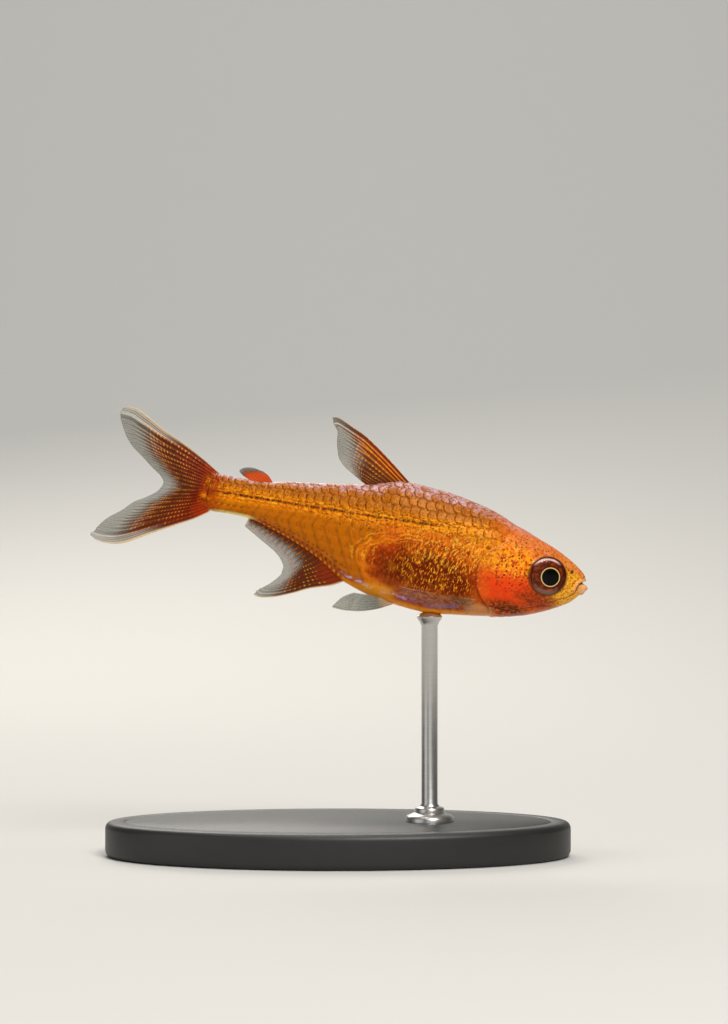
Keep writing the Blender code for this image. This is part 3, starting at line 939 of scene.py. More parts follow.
@dataclass(frozen=True)
class BodyMarkings:
    """The fish's markings, the same on its skin and its scales."""

    belly: BellyMarkings = BellyMarkings()
    head: HeadMarkings = HeadMarkings()
    amber: Colour = srgb(226, 108, 16)
    amber_shade: Colour = srgb(204, 84, 10)
    olive: Colour = srgb(152, 84, 10)
    muscle: Colour = srgb(196, 104, 4)
    muscle_shade: Colour = srgb(120, 66, 6)
    muscle_light: Colour = srgb(222, 126, 10)
    muscle_gap: float = 0.62
    dot_gap: float = 0.29
    tail_red: Colour = srgb(156, 44, 6)
    lilac_sheen: Colour = srgb(198, 160, 168)
    grit_dark: Colour = srgb(96, 40, 8)
    pale_glint: Colour = srgb(246, 160, 66)

    def lay_on(self, graph: Graph) -> None:
        """Lays the colour over the whole body.

        Args:
            graph: The material.
        """
        below_spine = spine_level(graph.along) - graph.up
        cloud, fine = graph.noise(1.6, 4.0), graph.noise(7.0, 3.0)
        graph.colour = self.amber
        graph.lay(cloud.over(0.35, 0.7), self.amber_shade)
        self.lay_muscle(graph, below_spine)
        upper = graph.rise.over(0.60, 0.74) * graph.along.over(3.2, 4.4)
        graph.lay(upper * (0.65 + cloud * 0.3), self.olive)
        band = (below_spine + 0.02).within(-0.32, 0.38, 0.22) * graph.along.over(4.4, 6.0)
        flecks = graph.noise(5.5, 4.0, (1.0, 1.0, 2.2), SLANT)
        graph.lay(band * flecks.over(0.36, 0.56) * 0.95, GOLD)
        graph.lay(band * flecks.over(0.58, 0.70) * 0.7, BRIGHT_GOLD)
        self.belly.lay_on(graph, fine)
        self.head.lay_on(graph, cloud)
        self.lay_spine(graph, below_spine)
        self.lay_back(graph)

    def lay_muscle(self, graph: Graph, below_spine: Value) -> None:
        """Lays the clear rear flank with its chevrons of muscle.

        Args:
            graph: The material.
            below_spine: Distance below the backbone.
        """
        rear = graph.along.over(10.2, 11.6) * below_spine.over(0.15, 0.5)
        folded = graph.along + abs(below_spine - 0.9) * 0.55
        chevrons = (folded * (math.tau / self.muscle_gap)).sine().over(0.35, 1.0)
        graph.lay(rear * 0.92, self.muscle)
        graph.lay(rear * chevrons * 0.34, self.muscle_shade)
        lit = rear * below_spine.over(0.9, 0.3) * graph.noise(0.9, 3.0)
        graph.lay(lit.least(1.0) * 0.6, self.muscle_light)

    def lay_spine(self, graph: Graph, below_spine: Value) -> None:
        """Lays the dotted line over the backbone and the red root of the tail.

        Args:
            graph: The material.
            below_spine: Distance below the backbone.
        """
        along, noise = graph.along, graph.noise
        broken = noise(4.2, 3.0, (1.0, 1.0, 0.5), SLANT).over(0.40, 0.52)
        wander = (noise(2.6, 3.0) - 0.5) * 0.22
        dots = (along * (math.tau / self.dot_gap) + wander * 12.0).sine().over(-0.75, 0.35)
        line = (below_spine + wander).near(0.0, 0.12) * along.over(6.4, 9.2)
        line = line * (0.35 + dots * 0.45 + broken * 0.55)
        graph.lay(line.least(1.0) * 0.95, DARK)
        uneven = noise(2.4, 4.0).over(0.38, 0.54)
        graph.lay(along.over(18.8, 20.0) * uneven * 0.9, self.tail_red)
        seam = (along + wander * 0.6).near(20.0, 0.07) * abs(graph.up).over(0.75, 0.35)
        graph.lay(seam * 0.75, DARK)

    def lay_back(self, graph: Graph) -> None:
        """Lays the lilac ridge, which is painted sheen, the grit mottling with its painted pale
        glints, and the specks of the upper flank.

        Args:
            graph: The material.
        """
        along, rise, noise = graph.along, graph.rise, graph.noise
        # Painted lilac sheen along the ridge of the back, broken into glints.
        glint = noise(4.5, 4.0, (1.0, 1.0, 1.6), SLANT).over(0.47, 0.60)
        ridge = rise.over(0.90, 0.97) * along.over(2.2, 5.0)
        graph.lay(ridge * (0.12 + glint * 0.65), self.lilac_sheen)
        above = along.over(4.3, 5.6) * rise.over(0.42, 0.60)
        mottle_and_glint = noise(6.5, 5.0, (1.7, 1.0, 0.8), SLANT, 0.7)
        # The dark grit is the fish's own mottling; the pale grit is painted glints.
        graph.lay(above * mottle_and_glint.over(0.52, 0.64) * 0.50, self.grit_dark)
        graph.lay(above * mottle_and_glint.over(0.47, 0.37) * 0.38, self.pale_glint)
        graph.lay(above * graph.specks(7.5, 0.40, 0.5) * 0.7, DARK)


@dataclass(frozen=True)
class SkinFinish:
    """Wet fish skin, with a painted highlight on the raised lips and painted shade in the head's
    grooves.
    """

    sheen: Colour = (1.0, 0.45, 0.08)
    lip: Colour = srgb(232, 176, 128)
    groove_shade: Colour = srgb(86, 26, 6)
    roughness: float = 0.34

    def material(self) -> bpy.types.Material:
        """Builds the material.

        Returns:
            The material.
        """
        graph = Graph("wet_skin")
        BodyMarkings().lay_on(graph)
        # Painted highlight on the raised lips.
        graph.lay(graph.attribute("lip") * 0.5, self.lip)
        # Painted shade in the grooves of the mouth, gill cover and nostrils.
        graph.lay(graph.attribute("crease_shade") * 0.7, self.groove_shade)
        graph.set(Base_Color=graph.colour,
                  Roughness=self.roughness + graph.noise(9.0, 3.0) * 0.16 - 0.08,
                  Coat_Weight=0.12, Coat_Roughness=0.10, Subsurface_Weight=0.2,
                  Subsurface_Radius=(1.0, 0.35, 0.1), Subsurface_Scale=0.12 * MM,
                  Specular_IOR_Level=0.42, Specular_Tint=self.sheen)
        grain = graph.noise(26.0, 3.0) * 0.5 + graph.noise(8.0, 2.0) * 0.5
        graph.bump(grain, 0.35, 0.02)
        return graph.material


@dataclass(frozen=True)
class ScaleFinish:
    """Thin scales that carry the skin's markings, with darker free edges and painted sheen on their
    blades and along the back.
    """

    sheen: Colour = (1.0, 0.45, 0.08)
    edge: Colour = srgb(92, 38, 8)
    blade: Colour = srgb(236, 160, 70)
    ridge: Colour = srgb(216, 184, 202)
    ring_rate: float = 50.0

    def material(self) -> bpy.types.Material:
        """Builds the material.

        Returns:
            The material.
        """
        graph = Graph("scales")
        BodyMarkings().lay_on(graph)
        blade, tone = graph.attribute("blade"), graph.attribute("tone")
        upper = graph.rise.over(0.60, 0.76)
        worn = graph.noise(6.0, 3.0).over(0.36, 0.60)
        graph.lay(blade.over(0.88, 0.96) * worn * upper * 0.62, self.edge)
        # Painted sheen across the middle of each upper scale.
        graph.lay(blade.within(0.45, 0.72, 0.12) * upper * 0.14 * tone, self.blade)
        # Painted lilac sheen on the scales along the back.
        back = graph.rise.over(0.86, 0.96) * graph.along.over(5.0, 7.5) * tone.over(0.1, 0.7)
        shine = blade.within(0.3, 0.85, 0.15) * graph.noise(7.0, 4.0).over(0.42, 0.58)
        graph.lay(back * shine * 0.75, self.ridge)
        rings = (blade * self.ring_rate).sine() * 0.3 * upper + graph.noise(14.0, 2.0) * 0.6
        graph.set(Base_Color=graph.colour, Roughness=0.40 - tone * 0.12, Coat_Weight=0.03,
                  Coat_Roughness=0.12, Subsurface_Weight=0.1,
                  Subsurface_Radius=(1.0, 0.35, 0.1), Subsurface_Scale=0.1 * MM,
                  Specular_IOR_Level=0.26, Specular_Tint=self.sheen)
        graph.bump(rings, 0.18, 0.01)
        return graph.material


# Making meshes


def finished(name: str, bm: bmesh.types.BMesh, material: bpy.types.Material,
             replaced: Sequence[str] = ()) -> bpy.types.Object:
    """Makes a piece of the object from a mesh that lies in place.

    Args:
        name: The piece's name.
        bm: Its mesh, which is freed.
        material: Its material.
        replaced: The solids that it stands for.

    Returns:
        The piece.
    """
    mesh = bpy.data.meshes.new(name)
    bm.to_mesh(mesh)
    bm.free()
    mesh.shade_smooth()
    mesh.materials.append(material)
    piece = bpy.data.objects.new(name, mesh)
    bpy.context.scene.collection.objects.link(piece)
    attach(piece, "root")
    if replaced:
        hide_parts(*replaced)
    return piece


def face_outwards(bm: bmesh.types.BMesh) -> None:
    """Turns every face of a closed mesh outwards.

    Args:
        bm: The mesh.
    """
    bmesh.ops.recalc_face_normals(bm, faces=bm.faces)
    if bm.calc_volume(signed=True) < 0:
        bmesh.ops.reverse_faces(bm, faces=bm.faces)


# Skin


@dataclass
class Skin:
    """One skin over the whole body, with the relief of the head."""

    head_rings: int = 220
    rear_rings: int = 100
    around: int = 236
    head_end: float = 5.9
    snout_share: float = 0.3
    tail_end: float = 20.8
    coat_depth: float = 0.055
    eye_opening: float = 0.885
    relief_end: float = 6.4
    scales_from: float = 6.1
    mouth: SideLine = field(default_factory=lambda: SideLine(
        ((-0.35, -0.06), (0.0, -0.10), (0.22, -0.17), (0.36, -0.40), (0.40, -0.66))))
    jaw: SideLine = field(default_factory=lambda: SideLine(
        ((0.42, -0.72), (0.72, -0.98), (1.2, -1.27), (1.7, -1.5))))
    upper_jaw_bone: SideLine = field(default_factory=lambda: SideLine(
        ((0.42, -0.16), (0.62, -0.56), (0.84, -0.94), (1.04, -1.26))))
    gill_edge: SideLine = field(default_factory=lambda: SideLine(GILL_EDGE, 60))
    cheek_edge: SideLine = field(default_factory=lambda: SideLine(
        ((3.5, 0.7), (3.25, 0.05), (3.18, -0.7), (3.3, -1.4), (3.7, -1.95), (4.3, -2.15))))
    lower_cover: SideLine = field(default_factory=lambda: SideLine(
        ((4.7, -2.42), (3.8, -2.42), (2.9, -2.12), (2.1, -1.78), (1.6, -1.5))))
    cover_seam: SideLine = field(default_factory=lambda: SideLine(
        ((3.55, -1.35), (4.2, -1.5), (4.8, -1.62), (5.3, -1.6))))
    throat_rays: tuple[SideLine, ...] = field(default_factory=lambda: tuple(
        SideLine(((4.35, -2.62 - 0.13 * i), (3.5, -2.64 - 0.1 * i), (2.8, -2.36 - 0.09 * i)))
        for i in range(3)))

    def ring_place(self, index: int) -> float:
        """Place along of one ring, closest together at the snout.

        Args:
            index: The ring's number.

        Returns:
            The place.
        """
        if index <= self.head_rings:
            t = index / self.head_rings
            return self.head_end * t * t / (self.snout_share + (1 - self.snout_share) * t)
        t = (index - self.head_rings) / self.rear_rings
        return self.head_end + (self.tail_end - self.head_end) * t

    def scaled(self, along: float, up: float) -> float:
        """1 where scales cover the skin, 0 on the head.

        Args:
            along: Place along.
            up: Height.

        Returns:
            The share.
        """
        if along > self.scales_from:
            return 1.0
        distance, passed = self.gill_edge.measure(along, up)
        if distance == FAR_OFF:
            return 1.0 if along > 5.0 else 0.0
        nape = 1 - step_up(passed, 0.15, 0.35)
        return step_up(-distance, -0.02 - 0.4 * nape, 0.12 + 0.2 * nape)

    def relief(self, along: float, up: float) -> float:
        """How far the skin stands out from the body's plain form.

        Args:
            along: Place along.
            up: Height.

        Returns:
            The distance, in millimetres.
        """
        if along > self.relief_end:
            return -self.coat_depth
        out = -self.coat_depth * self.scaled(along, up)
        out += self.eye_relief(along, up) + self.mouth_relief(along, up)
        out += self.cover_relief(along, up) + self.nostril_relief(along, up)
        return out

    def crease_shade(self, along: float, up: float) -> float:
        """How deep in a groove of the head a point is, 0 to 1, which the skin's finish paints as
        shade.

        Args:
            along: Place along.
            up: Height.

        Returns:
            The share.
        """
        if along > self.relief_end:
            return 0.0
        deep = self.mouth_relief(along, up) * 0.8 + self.cover_relief(along, up) * 0.4
        return min(max(-deep - self.nostril_relief(along, up), 0.0) / 0.06, 1.0)

    def lip(self, along: float, up: float) -> float:
        """How far up on a lip a point is, 0 to 1, which the skin's finish paints as a highlight."""
        return min(max(self.mouth_relief(along, up), 0.0) / 0.09, 1.0)

    def eye_relief(self, along: float, up: float) -> float:
        """The opening for the eye, its rim and the ring of bones round it.

        Args:
            along: Place along.
            up: Height.

        Returns:
            How far out the skin stands.
        """
        away = math.dist((along, up), EYE_CENTRE)
        if away > 2.0:
            return 0.0
        out = -0.62 * (1 - step_up(away, self.eye_opening - 0.12, self.eye_opening + 0.02))
        out += 0.035 * hump(away - self.eye_opening - 0.10, 0.07)
        low = step_up(EYE_CENTRE[1] + 0.35 - up, 0.0, 0.5)
        return out - 0.022 * hump(away - 1.42, 0.05) * low

    def mouth_relief(self, along: float, up: float) -> float:
        """The line of the mouth, the lips and the bones of the jaws.

        Args:
            along: Place along.
            up: Height.

        Returns:
            How far out the skin stands.
        """
        if along > 2.2:
            return 0.0
        out = 0.0
        away, passed = self.mouth.measure(along, up)
        if abs(away) < 1:
            fade = 1 - step_up(passed, 0.93, 1.10)
            front = 1 - step_up(along, 0.02, 0.30)
            out -= (0.10 + 0.16 * front) * hump(away, 0.045 + 0.02 * front) * fade
            out += 0.05 * hump(away + 0.14, 0.08) * fade * (1 - 0.8 * front)
            out += (0.05 + 0.17 * front) * hump(away - 0.22, 0.12 + 0.05 * front) * fade
            out -= 0.03 * hump(away + 0.28, 0.03) * fade
            out -= 0.03 * hump(away - 0.42, 0.04) * fade * (1 - front)
        away, passed = self.jaw.measure(along, up)
        if abs(away) < 1:
            out -= 0.05 * hump(away, 0.04) * (1 - step_up(passed, 0.8, 1.05))
        away, passed = self.upper_jaw_bone.measure(along, up)
        if abs(away) < 1:
            ends = step_up(passed, -0.05, 0.1) * (1 - step_up(passed, 0.92, 1.05))
            out += (0.03 * hump(away, 0.09) - 0.03 * hump(away + 0.13, 0.03)) * ends
        return out

    def cover_relief(self, along: float, up: float) -> float:
        """The gill cover's raised rear edge and the seams of its plates.

        Args:
            along: Place along.
            up: Height.

        Returns:
            How far out the skin stands.
        """
        out = 0.0
        away, passed = self.gill_edge.measure(along, up)
        if abs(away) < 1:
            fade = step_up(passed, 0.18, 0.30) * (1 - step_up(passed, 0.84, 0.97))
            edge = 0.05 * hump(away, 0.4) if away > 0 else -0.07 * hump(away, 0.12)
            out += edge * fade
        for seam, depth, width in ((self.cheek_edge, 0.04, 0.045), (self.lower_cover, 0.05, 0.05),
                                   (self.cover_seam, 0.02, 0.035),
                                   *((ray, 0.02, 0.035) for ray in self.throat_rays)):
            away, passed = seam.measure(along, up)
            if abs(away) < 1:
                ends = step_up(passed, -0.02, 0.12) * (1 - step_up(passed, 0.88, 1.02))
                out -= depth * hump(away, width) * ends
        return out

    def nostril_relief(self, along: float, up: float) -> float:
        """Two nostrils with a low flap between them.

        Args:
            along: Place along.
            up: Height.

        Returns:
            How far out the skin stands.
        """
        if along > 1.5 or up < -0.2:
            return 0.0
        front = math.dist((along, up), (0.82, 0.32))
        rear = math.dist((along, up), (1.02, 0.36))
        out = -0.11 * hump(front, 0.065) - 0.09 * hump(rear, 0.06)
        return out + 0.03 * hump(math.dist((along, up), (0.92, 0.34)), 0.045)

    def build(self, material: bpy.types.Material) -> bpy.types.Object:
        """Makes the skin.

        Args:
            material: Its finish.

        Returns:
            The piece.
        """
        bm = bmesh.new()
        rings = self.head_rings + self.rear_rings
        bmesh.ops.create_grid(bm, x_segments=rings, y_segments=self.around, size=0.5)
        # The crease layer carries painted shade for the grooves, and the lip layer a painted
        # highlight for the lips.
        rise, crease_shade, lip = (bm.verts.layers.float.new(n) for n in ("rise", "crease_shade", "lip"))
        for vert in bm.verts:
            index = round((vert.co.x + 0.5) * rings)
            angle = math.tau * (vert.co.y + 0.5)
            along = self.ring_place(index)
            up, side = BODY.point(along, angle)
            vert[rise] = BODY.rise(along, up)
            vert[crease_shade], vert[lip] = self.crease_shade(along, up), self.lip(along, up)
            if index in (0, rings):
                level = BODY.section(along)[3]
                reach = -self.relief(0.0, level) if index == 0 else along + 0.03
                vert.co = POSE.place(reach, level, 0.0)
                continue
            out = BODY.outwards(along, angle) * self.relief(along, up)
            vert.co = POSE.place(along + out.x, up + out.y, side + out.z)
        bmesh.ops.remove_doubles(bm, verts=bm.verts, dist=0.0004 * MM)
        face_outwards(bm)
        flesh = ("head", "lower_jaw", "gill_cover_right", "gill_cover_left", "trunk", "tail_stalk")
        return finished("skin", bm, material, flesh)


# Scales


@dataclass
class Scales:
    """Thin overlapping scales in rows along the body."""

    first_root: float = 3.6
    front: float = 3.9
    rear: float = 20.0
    body_end: float = 20.6
    rows: range = range(-8, 10)
    pitch: float = 0.46
    row_pitch: float = 0.56
    row_overlap: float = 1.16
    length: float = 0.90
    rooted: float = 0.30
    thickness: float = 0.004
    sunk: float = 0.060
    lift: float = 0.026
    camber: float = 0.004
    belly_share: float = 0.5
    unwrap: Point = (22.0, 16.0)
    unwrap_seam: float = 0.02
    patch_size: float = 0.003
    cells_long: int = 4
    cells_wide: int = 4
    seed: int = 11

    def fits(self, along: float, up: float, skin: Skin) -> bool:
        """Whether a scale grows here.

        Args:
            along: Place along.
            up: Height.
            skin: The skin that it would lie on.

        Returns:
            True if one does.
        """
        if not self.front <= along <= self.rear:
            return False
        distance, _ = skin.gill_edge.measure(along, up)
        if distance != FAR_OFF:
            return distance < -0.3
        return along > 5.5 or up > 1.6

    def pitch_scale(self, along: float) -> float:
        """How much smaller the scales are here than on the flank."""
        return 1.0 - 0.30 * step_up(along, 11.0, 20.0) - 0.12 * (1 - step_up(along, 4.0, 7.0))

    def roots(self, skin: Skin) -> list[tuple[float, float, float]]:
        """Where the scales grow.

        Args:
            skin: The skin that they lie on.

        Returns:
            For each, its place along, its distance round the side and its size.
        """
        found = []
        for row in self.rows:
            along = self.first_root + (0.5 * self.pitch if row % 2 else 0.0)
            while along <= self.rear:
                scale = self.pitch_scale(along)
                line = BODY.distance_to(along, spine_level(max(along, 5.0)))
                distance = line + row * self.row_pitch * scale
                whole = BODY.arcs(along)[-1][0]
                if 0.1 < distance < whole - 0.1:
                    up, _ = BODY.point(along, BODY.angle_at(along, distance))
                    if self.fits(along, up, skin):
                        found.append((along, distance, scale))
                along += self.pitch * scale
        return found

    def add_scale(self, bm: bmesh.types.BMesh, root: tuple[float, float, float], hand: int,
                  tone: float) -> None:
        """Adds one scale.

        Args:
            bm: The mesh to add to.
            root: Its place along, distance round and size.
            hand: -1 on the right side, 1 on the left.
            tone: How strongly its painted sheen and its gloss show, 0 to 1.
        """
        layers = bm.verts.layers.float
        rise, blade_at, tone_at = layers["rise"], layers["blade"], layers["tone"]
        uv = bm.loops.layers.uv["OFBake"]
        along, distance, scale = root
        half = 0.5 * self.row_pitch * self.row_overlap * scale
        above, below = distance, BODY.arcs(along)[-1][0] - distance
        level = BODY.point(along, BODY.angle_at(along, distance))[0]
        upper = 0.05 + 0.95 * step_up(level - spine_level(max(along, 5.0)), -0.3, 0.5)
        made = bmesh.ops.create_grid(bm, x_segments=self.cells_long, y_segments=self.cells_wide,
                                     size=0.5)["verts"]
        patch = {}
        for vert in made:
            blade, across = 1 - abs(0.5 - vert.co.x) ** 1.5, vert.co.y * 2
            spread = math.sqrt(max(1 - (1.08 * blade - 0.42) ** 4 * 1.25, 0.05))
            sweep = 1 - 0.24 * across * across
            here = along + (blade * self.length - self.rooted) * scale * sweep
            section = min(here, self.body_end)
            whole = BODY.arcs(section)[-1][0]
            room = min(half, below if across > 0 else above)
            from_back = distance * (1 - self.belly_share) + (whole - below) * self.belly_share
            round_at = from_back + across * room * spread
            angle = BODY.angle_at(section, min(max(round_at, 0.0), whole))
            up, side = BODY.point(here, angle)
            out = BODY.outwards(here, angle)
            stand = -self.sunk + self.lift * blade * upper + self.camber * (1 - across * across)
            stand *= 1 - 0.45 * step_up(along, 17.5, self.rear)
            vert[rise] = BODY.rise(here, up)
            vert[blade_at] = blade
            vert[tone_at] = tone
            rounds = self.unwrap_seam + distance / self.unwrap[1]
            patch[vert] = (along / self.unwrap[0] + self.patch_size * (blade - 0.5),
                           0.5 + hand * rounds + self.patch_size * across * 0.5)
            away = abs(side + out.z * stand)
            vert.co = POSE.place(here + out.x * stand, up + out.y * stand,
                                 hand * (away if side >= 0 else -away))
        faces = list({face for vert in made for face in vert.link_faces})
        out = BODY.outwards(along, BODY.angle_at(along, distance))
        outwards = POSE.turned(out.x, out.y, hand * out.z)
        for face in faces:
            face.normal_update()
        if sum(face.normal.dot(outwards) for face in faces) < 0:
            bmesh.ops.reverse_faces(bm, faces=faces)
        for face in faces:
            for loop in face.loops:
                loop[uv].uv = patch[loop.vert]

    def build(self, skin: Skin, material: bpy.types.Material) -> list[bpy.types.Object]:
        """Makes the scales of both sides.

        Args:
            skin: The skin that they lie on.
            material: Their finish.

        Returns:
            The two pieces.
        """
        pieces = []
        roots = self.roots(skin)
        for side_name, hand in SIDES.items():
            chance = random.Random(self.seed + hand)
            bm = bmesh.new()
            for name in ("rise", "blade", "tone"):
                bm.verts.layers.float.new(name)
            bm.loops.layers.uv.new("OFBake")
            for root in roots:
                self.add_scale(bm, root, hand, chance.random())
            piece = finished(f"scales_{side_name}", bm, material)
            wall = piece.modifiers.new("Thickness", "SOLIDIFY")
            wall.thickness = self.thickness * MM
            wall.offset = 0.0
            pieces.append(piece)
        LOG.info("%d scales a side", len(roots))
        return pieces


# Fins


class FinKind(Enum):
    """The sorts of fin, which differ in colour."""

    DORSAL = "dorsal"
    FAT = "adipose"
    TAIL = "caudal"
    ANAL = "anal"
    PELVIC = "pelvic"
    PECTORAL = "pectoral"


@dataclass(frozen=True)
class FinFinish:
    """A thin membrane with jointed rays, read from the fin's own attributes."""

    kind: FinKind
    smoke: Colour = srgb(66, 60, 46)
    pale: Colour = srgb(206, 204, 190)
    ray: Colour = srgb(204, 82, 16)
    pectoral_ray: Colour = srgb(224, 160, 96)
    joint: Colour = srgb(255, 176, 62)
    edge: Colour = srgb(232, 204, 160)
    tail_root: Colour = srgb(170, 48, 6)
    tail_red: Colour = srgb(106, 18, 2)
    tail_brown: Colour = srgb(80, 28, 6)
    dorsal_root: Colour = srgb(92, 42, 9)
    dorsal_front: Colour = srgb(124, 33, 4)
    dorsal_brown: Colour = srgb(90, 38, 10)
    dorsal_light: Colour = srgb(255, 156, 36)
    dorsal_edge: Colour = srgb(222, 190, 150)
    anal_root: Colour = srgb(124, 34, 6)
    anal_brown: Colour = srgb(74, 28, 10)
    adipose_red: Colour = srgb(194, 66, 12)
    paired_root: Colour = srgb(206, 160, 104)
    paired_clear: Colour = srgb(84, 86, 64)

    def lay_zones(self, graph: Graph, out: Value, across: Value) -> Value:
        """Lays the colours over one sort of fin.

        Args:
            graph: The material.
            out: Share from root to tip.
            across: Share from front to rear.

        Returns:
            How strongly the fin is coloured.
        """
        far = out + (graph.noise(2.2, 3.0) - 0.5) * 0.22
        if self.kind is FinKind.TAIL:
            off_middle = abs(across - 0.5)
            far = far + (1 - off_middle.over(0.02, 0.24)) * 0.10
            graph.colour = self.tail_root
            graph.lay(far.over(0.02, 0.16), self.tail_red)
            graph.lay(far.over(0.24, 0.48), self.tail_brown)
            graph.lay(far.over(0.58, 0.84), self.smoke)
            strip = off_middle.over(0.440, 0.450) * out.over(0.35, 0.65)
            lines = (across * (math.tau * 76)).sine().over(0.0, 0.8)
            graph.lay(strip * (0.25 + lines * 0.55), self.pale)
            return far.over(1.0, 0.42)
        if self.kind is FinKind.DORSAL:
            front = across.over(0.46, 0.12)
            reach = far - front * 0.28
            graph.colour = self.dorsal_root
            graph.lay(front, self.dorsal_front)
            graph.lay(reach.over(0.10, 0.5), self.dorsal_brown)
            graph.lay(reach.over(0.42, 0.76), self.smoke)
            return reach.over(0.85, 0.2)
        if self.kind is FinKind.ANAL:
            reach = far + (1 - across.over(0.40, 0.16)) * 0.42
            graph.colour = self.anal_root
            graph.lay(reach.over(0.04, 0.40), self.anal_brown)
            graph.lay(reach.over(0.55, 0.95), self.smoke)
            return reach.over(1.05, 0.35)
        if self.kind is FinKind.FAT:
            graph.colour = self.adipose_red
            graph.lay(far.over(0.45, 0.9), self.smoke)
            return far.over(1.1, 0.4)
        graph.colour = self.paired_root
        graph.lay(far.over(0.02, 0.3), self.paired_clear)
        return far.over(0.5, 0.0)

    def lay_rays(self, graph: Graph, out: Value, across: Value, ray: Value,
                 joints: Value) -> None:
        """Lays the rays, their joints and the fin's edges.

        Args:
            graph: The material.
            out: Share from root to tip.
            across: Share from front to rear.
            ray: 1 on a ray.
            joints: 1 on a joint.
        """
        rays = {FinKind.PELVIC: self.pale, FinKind.PECTORAL: self.pectoral_ray}
        fade = out.over(0.5, 0.85)
        ray_colour = graph.mix(fade, rays.get(self.kind, self.ray), self.pale)
        least = 0.6 if self.kind is FinKind.PELVIC else 0.20
        graph.lay((ray * (fade * 0.65 + least)).least(1.0), ray_colour)
        where = out.within(0.18, 0.78, 0.1) * graph.noise(3.0, 2.0).over(0.38, 0.58)
        if self.kind in (FinKind.TAIL, FinKind.ANAL, FinKind.DORSAL):
            graph.lay(joints * ray * where * 0.9, self.joint)
        if self.kind is FinKind.DORSAL:
            lit = across.over(0.50, 0.15) * across.over(0.01, 0.07) * out.over(0.80, 0.55)
            graph.lay(lit * ray * 0.85, self.dorsal_light)
            graph.lay(across.over(0.02, 0.0) * 0.7, self.dorsal_edge)
        if self.kind in (FinKind.ANAL, FinKind.TAIL):
            graph.lay(abs(across - 0.5).over(0.478, 0.498) * 0.75, self.edge)

    def material(self) -> bpy.types.Material:
        """Builds the material.

        Returns:
            The material.
        """
        graph = Graph(f"{self.kind.value}_fin")
        out, across = graph.attribute("out"), graph.attribute("across")
        ray = graph.attribute("ray")
        if self.kind is FinKind.FAT:
            ray = ray * 0.15
        joints = (graph.attribute("reach") * (math.tau / 0.20)).sine().over(0.25, 0.95)
        density = self.lay_zones(graph, out, across)
        self.lay_rays(graph, out, across, ray, joints)
        paired = self.kind in (FinKind.PELVIC, FinKind.PECTORAL)
        thin = {FinKind.PELVIC: 0.36, FinKind.PECTORAL: 0.05}.get(self.kind, 0.40)
        clear = thin + density * (0.22 if paired else 0.72) + ray * (0.16 if paired else 0.26)
        graph.set(Base_Color=graph.colour, Alpha=clear.least(1.0), Roughness=0.38 - ray * 0.08,
                  Coat_Weight=0.08, Coat_Roughness=0.15, Specular_IOR_Level=0.35,
                  Specular_Tint=(1.0, 1.0, 1.0) if paired else (1.0, 0.6, 0.3))
        graph.bump(graph.noise(18.0, 2.0) + joints * ray * 0.4, 0.15, 0.01)
        return graph.material


@dataclass
class Fin:
    """One fin: a thin sheet whose rays are ridges of its own surface."""

    name: str
    kind: FinKind
    replaced: tuple[str, ...]
    outline: Callable[[float, float], Sequence[float]]
    rays: int
    ray_columns: int = 20
    rows: int = 56
    membrane: float = 0.05
    ray_height: float = 0.075
    first_fork: float = 0.42
    first_spread: float = 0.26
    second_fork: float = 0.70
    second_spread: float = 0.12
    size: float = 5.0
    plain_rays: int = 2

    def ridges(self, out: float) -> list[tuple[float, float, float]]:
        """Where the rays and their branches are at a share from root to tip.

        Args:
            out: The share.

        Returns:
            For each, its place across, half width and height, in ray gaps and 0 to 1.
        """
        found = []
        first = self.first_spread * step_up(out, self.first_fork, self.first_fork + 0.3)
        second = self.second_spread * step_up(out, self.second_fork, self.second_fork + 0.25)
        for i in range(self.rays):
            whole = i < self.plain_rays or self.rays - 1 - i < (self.kind is FinKind.TAIL) * 2
            if whole or self.kind is FinKind.FAT or first == 0:
                found.append((i, 0.20 - 0.06 * out, 1.0))
                continue
            for a in (-first, first):
                if second == 0:
                    found.append((i + a, 0.14, 0.8))
                    continue
                found.extend((i + a + b, 0.09, 0.6) for b in (-second, second))
        return found

    def build(self, material: bpy.types.Material) -> bpy.types.Object:
        """Makes the fin.

        Args:
            material: Its finish.

        Returns:
            The piece.
        """
        bm = bmesh.new()
        across_cells = (self.rays - 1) * self.ray_columns
        bmesh.ops.create_grid(bm, x_segments=across_cells, y_segments=self.rows, size=0.5)
        names = ("out", "across", "ray", "reach")
        out_at, across_at, ray_at, reach_at = (bm.verts.layers.float.new(n) for n in names)
        group = bm.verts.layers.deform.verify()
        fullest = 2 * (self.membrane + self.ray_height)
        tables = [self.ridges(row / self.rows) for row in range(self.rows + 1)]
        for vert in bm.verts:
            out = min(max(vert.co.y + 0.5, 0.0), 1.0)
            across = vert.co.x + 0.5
            gap = across * (self.rays - 1)
            ridge = 0.0
            for place, width, height in tables[round(out * self.rows)]:
                if abs(gap - place) < 3 * width:
                    ridge = max(ridge, height * hump(gap - place, width))
            thin = 1 - 0.72 * out**1.2
            vert[group][0] = thin * (self.membrane + self.ray_height * ridge) * 2 / fullest
            vert[out_at], vert[across_at], vert[ray_at] = out, across, ridge
            vert[reach_at] = out * self.size
            trimmed = out * (1 - 0.008 * (1 - ridge) * step_up(out, 0.9, 1.0))
            vert.co = POSE.place(*self.outline(trimmed, across))
        piece = finished(self.name, bm, material, self.replaced)
        piece.vertex_groups.new(name="thickness")
        wall = piece.modifiers.new("Thickness", "SOLIDIFY")
        wall.thickness = fullest * MM
        wall.offset = 0.0
        wall.vertex_group = "thickness"
        wall.use_even_offset = False
        return piece


